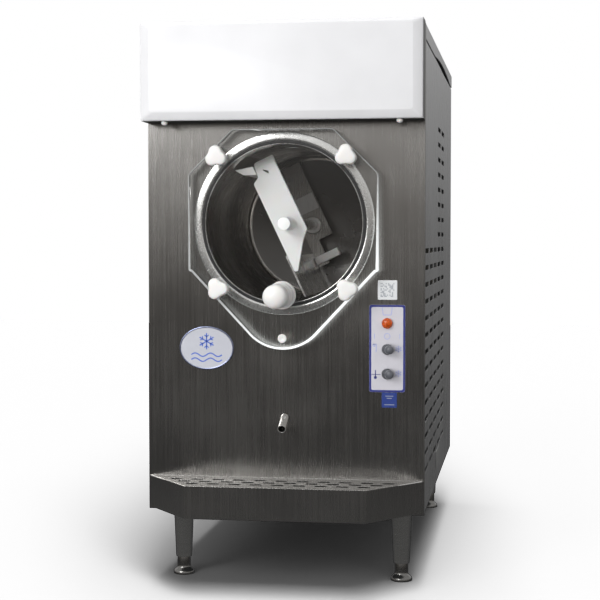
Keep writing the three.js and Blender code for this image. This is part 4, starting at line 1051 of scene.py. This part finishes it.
def shaft_seal():
    front, back = faces("shaft_seal", "y")
    step = CYLINDER_BACK - 3.3
    profile = [(SHAFT_HOLE, front + 1.5), (9.4, front), (14.6, front), (16, front + 1.4), (16, step),
               (11.7, step), (11.7, back), (SHAFT_HOLE, back), (SHAFT_HOLE, front + 1.5)]
    stand_for(soften(turned("seal_ring", profile), 0.3), "shaft_seal")


beater_plate()
beater_frame()
beater_shaft()
scrapers()
shaft_seal()


# ---------------------------------------------------------------- drive and refrigeration


def gearbox():
    """A cast gear case with a flange round it, the flange's bolts and a boss for the shaft."""
    half = faces("gearbox", "x")[1]
    front, back = faces("gearbox", "y")
    bottom, top = faces("gearbox", "z")
    height, centre = top - bottom, (top + bottom) / 2
    face = front + 6.6
    case = prism("case", rounded_rectangle(2 * half - 6, height - 6, 14, 0, centre), (face + 0.5, back))
    flange = prism("flange", rounded_rectangle(2 * half, height, 12, 0, centre), (face + 30, face + 38))
    boss = turned("boss", [(0, front), (22, front), (24, front + 2), (24, face + 2), (0, face + 2)])
    parts = [soften(case, 3.0, 3), soften(flange, 1.0), soften(boss, 0.5)]
    for x in (-1, 1):
        for z in (bottom + 9, top - 9):
            bolt = prism("bolt", arc(x * (half - 9), z, 5, 0, 300, 5), (face + 26, face + 31))
            parts.append(soften(bolt, 0.4))
    bore = drill(SHAFT_HOLE, (front - 2, face + 41))
    stand_for(soften(carved(joined("gear_case", parts), [bore], crossing=True)), "gearbox")


def drive_motor():
    """The motor's ribbed shell between its end bells."""
    centre = middle("drive_motor")
    front, back = faces("drive_motor", "y")
    ribs, valley, crest = 36, 57.5, 61.8
    outline = []
    for i in range(ribs):
        for share, radius in ((0.0, valley), (0.5, valley), (0.62, crest), (0.88, crest)):
            turn = 2 * math.pi * (i + share) / ribs
            outline.append((centre.x + radius * math.cos(turn), centre.z + radius * math.sin(turn)))
    parts = [soften(prism("shell", outline, (front + 14, back - 30)), 0.4, 1)]
    bell = [(0, front), (50, front), (53, front + 2), (54, front + 8), (61, front + 10), (61.5, front + 15),
            (0, front + 15)]
    rear = [(0, back - 31), (61.5, back - 31), (61.5, back - 16), (57, back - 6), (48, back - 1), (18, back),
            (0, back)]
    for profile in (bell, rear):
        parts.append(soften(turned("bell", profile, (centre.x, 0, centre.z), sides=72), 0.8))
    stand_for(soften(joined("motor_shell", parts), angle=35), "drive_motor")


def compressor():
    """A welded shell with its seam, on a foot plate, and its terminal cover."""
    centre = middle("compressor")
    bottom, top = faces("compressor", "z")
    base = [(radius + 12, z) for radius, z in dome(62, 18, bottom + 4, 15)]
    seam = [(74, top - 106), (78.5, top - 105), (78.8, top - 97), (75, top - 96)]
    crown = bow(0, top - 62, 74, 62, range(0, 90, 9))
    profile = [(0, bottom + 4)] + base + seam + crown + [(0, top)]
    shell = turned("shell", profile, (centre.x, centre.y, 0), "Z", 72)
    plate = prism("plate", rounded_rectangle(156, 156, 14, centre.x, centre.y), (bottom, bottom + 3), "XY")
    cover = prism("cover", rounded_rectangle(34, 46, 5, centre.x, top - 62), (centre.y - 78, centre.y - 60))
    piece = joined("compressor_shell", [shell, soften(plate, 0.6), soften(cover, 1.5)])
    stand_for(soften(piece, angle=35), "compressor")


def condenser():
    """A stack of fins between two end plates, and the tubes that run through them."""
    half = faces("condenser", "x")[1]
    front, back = faces("condenser", "y")
    bottom, top = faces("condenser", "z")
    parts = []
    count, thin, margin = 92, 0.25, 4
    for i in range(count):
        x = (i - (count - 1) / 2) * (2 * half - 6) / count
        parts.append(box_piece("fin", (x - thin, x + thin), (front + margin, back - margin),
                               (bottom + margin, top - margin)))
    for x in (1 - half, half - 1):
        parts.append(soften(box_piece("end", (x - 0.9, x + 0.9), (front, back), (bottom, top)), 0.4))
    stand_for(soften(joined("condenser_fins", parts)), "condenser")
    tubes = []
    rows = 9
    for row in range(rows):
        z = bottom + 20 + row * (top - bottom - 40) / (rows - 1)
        for y in (front + 14, back - 14):
            tubes.append(swept("tube", [(-half + 1.6, y, z), (half - 1.6, y, z)], 4.2, 14))
    settle(soften(joined("condenser_tubes", tubes), angle=40), "cabinet", "copper")


def condenser_fan():
    """A wheel of five cambered blades, flatter and swept forward towards their tips."""
    centre = middle("condenser_fan")
    front, back = faces("condenser_fan", "y")
    middle_y = (front + back) / 2
    blade_count, stations, section_points = 5, 8, 14
    parts = []
    for i in range(blade_count):
        rings = []
        for step in range(stations + 1):
            t = step / stations
            radius = 15 + 81 * t
            chord = 17 + 30 * math.sin(math.pi * (0.15 + 0.62 * t))
            pitch = math.radians(36 - 16 * t)
            section = []
            for k in range(section_points):
                u = 2 * math.pi * k / section_points
                along = 0.5 * chord * math.cos(u)
                rise = 2.2 * (1 - (2 * along / chord) ** 2) + 0.9 * math.sin(u)
                sweep = along * math.cos(pitch) - rise * math.sin(pitch)
                y = middle_y + along * math.sin(pitch) + rise * math.cos(pitch)
                angle = 2 * math.pi * i / blade_count + 0.16 * t + sweep / radius
                section.append((centre.x + radius * math.cos(angle), max(front + 0.4, min(back - 0.4, y)),
                                centre.z + radius * math.sin(angle)))
            rings.append(section)
        parts.append(lofted("blade", rings))
    parts.append(turned("hub", [(4.4, front), (15, front), (18, front + 3), (18, back - 2), (16, back),
                                (4.4, back - 0.2), (4.4, front)], (centre.x, 0, centre.z)))
    stand_for(soften(joined("fan_wheel", parts), angle=35), "condenser_fan")


def fan_motor():
    """The fan's motor can on a post and a foot."""
    front, back = faces("fan_motor", "y")
    bottom = faces("fan_motor", "z")[0]
    axis = middle("condenser_fan").z
    can = turned("can", [(0, front), (30, front), (36, front + 3), (38, front + 8), (38, front + 30),
                         (39.2, front + 30.5), (39.2, front + 33), (38, front + 33.5), (38, front + 50),
                         (31, front + 57), (9, front + 58), (4, front + 59), (4, back), (0, back)],
                 (0, 0, axis), sides=64)
    post = box_piece("post", (-14, 14), (front + 20, front + 23), (bottom, axis - 30))
    foot = prism("foot", rounded_rectangle(80, 36, 6, 0, front + 23), (bottom, bottom + 3), "XY")
    piece = joined("fan_motor_can", [soften(can, 0.4), soften(post, 0.5), soften(foot, 0.5)])
    stand_for(soften(piece, angle=35), "fan_motor")


gearbox()
drive_motor()
compressor()
condenser()
condenser_fan()
fan_motor()


# ---------------------------------------------------------------- controls and labels

CONTROL = middle("control_plate")
PLATE_FACE = faces("control_plate", "y")[0]
PRINT = 0.12  # thickness of a printed mark


def mark(outline, face):
    """A printed mark on a face that looks to the front, as an unfinished piece."""
    return prism("mark", outline, (face - PRINT, face - 0.01))


def strokes(points, width, face):
    """Printed lines from point to point."""
    lines = []
    for a, b in zip(points, points[1:]):
        start, end = Vector(a), Vector(b)
        side = (end - start).orthogonal().normalized() * width / 2
        lines.append(mark([(c.x, c.y) for c in (start + side, end + side, end - side, start - side)], face))
    return lines


def ring_mark(x, z, radius, width, face, sides=32):
    outer = arc(x, z, radius, 0, 360, sides)
    inner = arc(x, z, radius - width, 0, 360, sides)
    return [mark([outer[i], outer[i + 1], inner[i + 1], inner[i]], face) for i in range(sides)]


def snowflake(x, z, size, width, face):
    lines = []
    for i in range(6):
        angle = math.radians(60 * i + 30)
        arm = Vector((math.cos(angle), math.sin(angle)))
        lines += strokes([(x, z), (x + arm.x * size, z + arm.y * size)], width, face)
        for turn in (-50, 50):
            branch = Matrix.Rotation(math.radians(turn), 2) @ arm
            root = arm * size * 0.55
            start = (x + root.x, z + root.y)
            end = (x + root.x + branch.x * size * 0.36, z + root.y + branch.y * size * 0.36)
            lines += strokes([start, end], width * 0.8, face)
    return lines


def control_plate():
    """The printed plate of the controls with its holes and its blue border."""
    left, right = faces("control_plate", "x")
    bottom, top = faces("control_plate", "z")
    width, height, rim = right - left, top - bottom, 2.9

    def outline(margin, radius):
        return rounded_rectangle(width - margin, height - margin, radius, CONTROL.x, CONTROL.z)

    plate = prism("control_panel", outline(0, 3), faces("control_plate", "y"))
    cutters = []
    for node, radius in (("indicator_lamp", 5.3), ("beater_toggle", 6.1), ("freeze_toggle", 6.1)):
        centre = middle(node)
        cutters.append(drill(radius, (-5, 2), (centre.x, 0, centre.z), sides=32))
    stand_for(soften(carved(plate, cutters), 0.2), "control_plate")
    outer, inner = outline(0.3, 3), outline(2 * rim, 2.5)
    border = [mark([outer[i - 1], outer[i], inner[i], inner[i - 1]], PLATE_FACE) for i in range(len(outer))]
    decorate(joined("control_border", border), "print_blue")


def control_marks():
    """Generic picture marks: a cup, switch positions, a pump, a thermometer and snowflakes."""
    face = PLATE_FACE
    x = CONTROL.x
    lamp, first, second = (middle(node).z for node in ("indicator_lamp", "beater_toggle", "freeze_toggle"))
    between = (lamp + first) / 2

    def drawn(points, width, height):
        """Lines between points that are given from the plate's middle and that height."""
        return strokes([(x + a, height + b) for a, b in points], width, face)

    pale = drawn([(-7, 22), (-5.5, 11.5), (5.5, 11.5), (7, 22)], 1.2, lamp)
    pale += ring_mark(x, between, 4.4, 0.9, face)
    for side in (-17.5, 17.5):
        pale += drawn([(side, -3.6), (side, 3.6)], 0.9, between)
    pale += drawn([(-20, 7), (-15, 7), (-15, 1), (-15.5, -4)], 1.1, first)
    pale += ring_mark(x - 18.4, first + 5.4, 2.0, 1.2, face, 20)
    for height in (first, second):
        pale += snowflake(x + 15.8, height + 0.5, 4.8, 0.9, face)
    dark = drawn([(-22, -1), (-9, -1)], 0.8, second)
    dark += ring_mark(x - 16.2, second - 5.2, 2.1, 2.0, face, 20)
    dark += drawn([(-16.2, -5), (-16.2, 5)], 1.2, second)
    decorate(joined("control_marks", pale), "print_pale")
    decorate(joined("control_symbols", dark), "print_blue")


def indicator_lamp():
    centre = middle("indicator_lamp")
    front, back = faces("indicator_lamp", "y")
    seat = PLATE_FACE - 0.3
    profile = dome(6.5, 3.4, front, 10) + [
        (6.9, front + 4.6), (7.4, front + 5.0), (7.5, seat - 0.4), (7.3, seat), (5, seat), (5, back),
        (0, back),
    ]
    stand_for(soften(turned("lamp_lens", profile, (centre.x, 0, centre.z)), angle=35), "indicator_lamp")


def toggles():
    """Toggle levers under moulded rubber boots, which lean to the right."""
    lean = 0.35  # to the right for each millimetre out
    for node in ("beater_toggle", "freeze_toggle"):
        centre = middle(node)
        front, back = faces(node, "y")
        boot = dome(5.9, 3.6, front, 10)[1:] + [
            (6.2, front + 5.2), (5.9, front + 7.2), (5.2, front + 9.0), (5.4, front + 10.2),
            (6.2, front + 10.8), (6.0, front + 11.8), (6.6, front + 12.6), (7.4, front + 13.2),
            (7.6, front + 14.6), (7.5, back),
        ]
        rings = [[(x, y, z) for x, z in ellipse(centre.x + lean * (back - y), centre.z, r, r, 40)]
                 for r, y in boot]
        stand_for(soften(lofted(node + "_boot", rings), angle=40), node)


def badge():
    """A blank oval plate with a metal rim and a generic snowflake over two waves."""
    centre = middle("badge")
    left, right = faces("badge", "x")
    face, back = faces("badge", "y")
    bottom, top = faces("badge", "z")
    a, b = (right - left) / 2, (top - bottom) / 2
    drop = 0.25  # from the rim's crest to the plate

    def oval(margin):
        return ellipse(centre.x, centre.z, a - margin, b - margin)

    stand_for(soften(prism("badge_plate", oval(0.2), (face + drop, back)), 0.3), "badge")
    rims = ((0, face + 0.3), (0.5, face), (1.5, face), (2.2, face + 0.3))
    rings = [[(x, y, z) for x, z in oval(margin)] for margin, y in rims]
    decorate(soften(lofted("badge_rim", rings, around=True), angle=50), "rim_blue")
    marks = snowflake(centre.x, centre.z + 9.5, 11.5, 1.7, face + drop)
    length, height, steps = 44, 2.4, 40
    for z in (-9.5, -16.5):
        wave = [(centre.x - length / 2 + length * i / steps,
                 centre.z + z + height * math.sin(4 * math.pi * i / steps)) for i in range(steps + 1)]
        marks += strokes(wave, 1.7, face + drop)
    decorate(joined("badge_drawing", marks), "badge_blue")


def code_marks(centre, face):
    """Small squares, scattered over a grid as if they were a code."""
    cells, pitch, filled, half = 11, 1.75, 0.42, 0.8
    marks = []
    for i in range(cells):
        for j in range(cells):
            if random.random() < filled:
                x = centre.x + (i - (cells - 1) / 2) * pitch
                z = centre.z + (j - (cells - 1) / 2) * pitch
                marks.append(mark([(x - half, z - half), (x + half, z - half), (x + half, z + half),
                                   (x - half, z + half)], face))
    return marks


def rule_marks(centre, face):
    """Three lines that stand for print."""
    marks = []
    for z, half in ((5.5, 5.5), (2.5, 3.5), (-6.5, 7.0)):
        marks += strokes([(centre.x - half, centre.z + z), (centre.x + half, centre.z + z)], 0.9, face)
    return marks


def square_labels():
    """The printed labels by the controls, with generic patterns in place of their print."""
    for node, pattern in (("code_label", code_marks), ("service_label", rule_marks)):
        centre = middle(node)
        left, right = faces(node, "x")
        face, back = faces(node, "y")
        outline = rounded_rectangle(right - left, right - left, 1.2, centre.x, centre.z)
        sticker = stand_for(soften(prism(node + "_sticker", outline, (face, back)), 0.1), node)
        if node == "code_label":
            repaint(sticker, "code_paper")
        decorate(joined(node + "_print", pattern(centre, face)), "print_grey")


def data_plate():
    centre = middle("data_plate")
    front, back = faces("data_plate", "y")
    bottom, top = faces("data_plate", "z")
    outline = rounded_rectangle(back - front, top - bottom, 2, centre.y, centre.z)
    plate = prism("rating_plate", outline, faces("data_plate", "x"), "YZ")
    stand_for(soften(plate, 0.12), "data_plate")


random.seed(7)
control_plate()
control_marks()
indicator_lamp()
toggles()
badge()
square_labels()
data_plate()


# ---------------------------------------------------------------- legs


def legs():
    """Tapered leg sleeves, each with its screw foot."""
    for corner in ("front_left", "front_right", "rear_left", "rear_right"):
        leg, foot = "leg_" + corner, "foot_" + corner
        centre = middle(leg)
        place = (centre.x, centre.y, 0)
        bottom, top = faces(leg, "z")
        shoulder = top - 12
        sleeve = turned(leg + "_sleeve", [
            (0, bottom + 36), (9.6, bottom + 36), (9.6, bottom + 0.6), (10.2, bottom), (10.9, bottom + 0.3),
            (11.2, bottom + 1.4), (11.4, bottom + 3), (14.3, shoulder - 3), (14.5, shoulder - 0.6),
            (13.8, shoulder), (5, shoulder), (5, top - 0.6), (4.4, top), (0, top),
        ], place, "Z", 64)
        stand_for(soften(sleeve, angle=40), leg)
        bottom, top = faces(foot, "z")
        pad = turned(foot + "_pad", [
            (0, bottom), (14.2, bottom), (15, bottom + 0.8), (15, bottom + 3.2), (14.2, bottom + 5),
            (12.4, bottom + 6.8), (10.4, bottom + 8.2), (9.3, bottom + 10.5), (9.25, bottom + 13),
            (9.25, top - 0.8), (8.6, top), (0, top),
        ], place, "Z", 64)
        # the foot in the darker foot steel, as painted shade
        repaint(stand_for(soften(pad, angle=40), foot), "foot_steel_painted_shade")


legs()

for node, piece in frame["nodes"].items():
    if not piece.hide_render:
        piece.data.materials.clear()
        piece.data.materials.append(MATERIALS[SLOTS[node]])


# ---------------------------------------------------------------- stage, light and camera


def stage():
    """A large sheet of paper that shows only the machine's shadow."""
    reach = 6
    corners = [(-reach, -reach, 0), (reach, -reach, 0), (reach, reach, 0), (-reach, reach, 0)]
    floor = piece_of("floor", mesh_of("floor", corners, [[0, 1, 2, 3]]))
    finish = Finish("floor_paper", Roughness=0.9, Specular_IOR_Level=0.0)
    finish.paint(finish.noise(7, 3.0), (0.3, (0.86, 0.86, 0.86)), (0.7, (0.88, 0.88, 0.88)))
    floor.data.materials.append(MATERIALS["floor_paper"])
    floor.visible_glossy = False  # the steel reflects the dark of the studio, not the paper
    floor.visible_diffuse = False
    floor.is_shadow_catcher = True
    return floor


def grey(level, warmth=0.0):
    return (level * (1 + warmth), level, level * (1 - warmth))


LOWEST, HIGHEST = -0.25, 0.75  # how far down and up the two gradients of the studio reach
FRONT_LIGHT = (
    (0.0, grey(0.12)), (0.05, grey(0.11)), (0.10, grey(0.035)), (0.20, grey(0.035, 0.05)),
    (0.26, grey(0.16, 0.08)), (0.33, grey(0.48, 0.03)), (0.45, grey(0.62)), (1.0, grey(0.6)),
)
BACK_LIGHT = (
    (0.0, grey(0.07)), (0.15, grey(0.09)), (0.25, grey(0.14)), (0.36, grey(0.34)), (0.5, grey(0.8)),
    (0.7, grey(0.7)), (0.95, grey(0.32)),
)


def studio():
    """A studio that is bright overhead and behind, and dark low down in front. The camera sees it white."""
    world = bpy.data.worlds.new("studio")
    world.use_nodes = True
    nodes = Nodes(world.node_tree)
    nodes.tree.nodes.clear()
    generated = nodes.add("ShaderNodeTexCoord").outputs["Generated"]
    direction = nodes.add("ShaderNodeSeparateXYZ", {"Vector": generated}).outputs
    upward = nodes.spread(direction["Z"], 0, 1, LOWEST, HIGHEST)
    blend = nodes.add("ShaderNodeMix", {
        "Factor": nodes.spread(direction["Y"], 0, 1, 0.2, 0.8),
        "A": nodes.colours(upward, *FRONT_LIGHT), "B": nodes.colours(upward, *BACK_LIGHT),
    }, data_type="RGBA")
    light = nodes.add("ShaderNodeBackground", {"Color": blend.outputs["Result"], "Strength": 1.0})
    paper = nodes.add("ShaderNodeBackground", {"Color": (1, 1, 1, 1)})
    choose = nodes.add("ShaderNodeMixShader", {
        "Fac": nodes.add("ShaderNodeLightPath").outputs["Is Camera Ray"],
        1: light.outputs["Background"], 2: paper.outputs["Background"],
    })
    nodes.add("ShaderNodeOutputWorld", {"Surface": choose.outputs["Shader"]})
    bpy.context.scene.world = world


def softbox(name, place, target, size, power, glossy=True):
    data = bpy.data.lights.new(name, "AREA")
    data.shape = "RECTANGLE"
    data.size, data.size_y = size
    data.energy = power
    lamp = piece_of(name, data)
    lamp.location = place
    lamp.rotation_euler = (Vector(target) - Vector(place)).to_track_quat("-Z", "Y").to_euler()
    lamp.visible_glossy = glossy
    return lamp


def camera():
    data = bpy.data.cameras.new("camera")
    data.sensor_width = 36.0
    data.lens = 90.06
    view = piece_of("camera", data)
    view.location = (0.3363, -2.3736, 0.4895)
    pitch_down, turn_left = 2.385, 8.664
    view.rotation_euler = (math.radians(90 - pitch_down), 0, math.radians(turn_left))
    bpy.context.scene.camera = view


floor = stage()
studio()
# where each lamp is, where it looks, its size and its power in watts
softbox("key", (-1.24, -2.5, 1.46), (0, -0.05, 0.47), (1.0, 1.0), 31)
softbox("fill", (1.9, -1.6, 1.5), (0.1, -0.1, 0.4), (1.2, 1.2), 4, glossy=False)
softbox("bounce", (-0.6, -1.9, 0.12), (0, -0.1, 0.6), (1.4, 0.8), 24, glossy=False)
softbox("overhead", (0, 0.3, 2.6), (0, 0, 0), (2.6, 2.6), 36, glossy=False)
floor_only = bpy.data.collections.new("floor_only")
floor_only.objects.link(floor)
for name, place, size, power in (
    ("above_floor", (0.4, -1.4, 4.6), (1.4, 5.4), 3000), ("before_floor", (0.3, -3.2, 1.0), (4.0, 2.0), 220),
):
    softbox(name, place, (0, 0, place[2] / 5), size, power).light_linking.receiver_collection = floor_only
camera()
bpy.context.scene.view_settings.view_transform = "Standard"
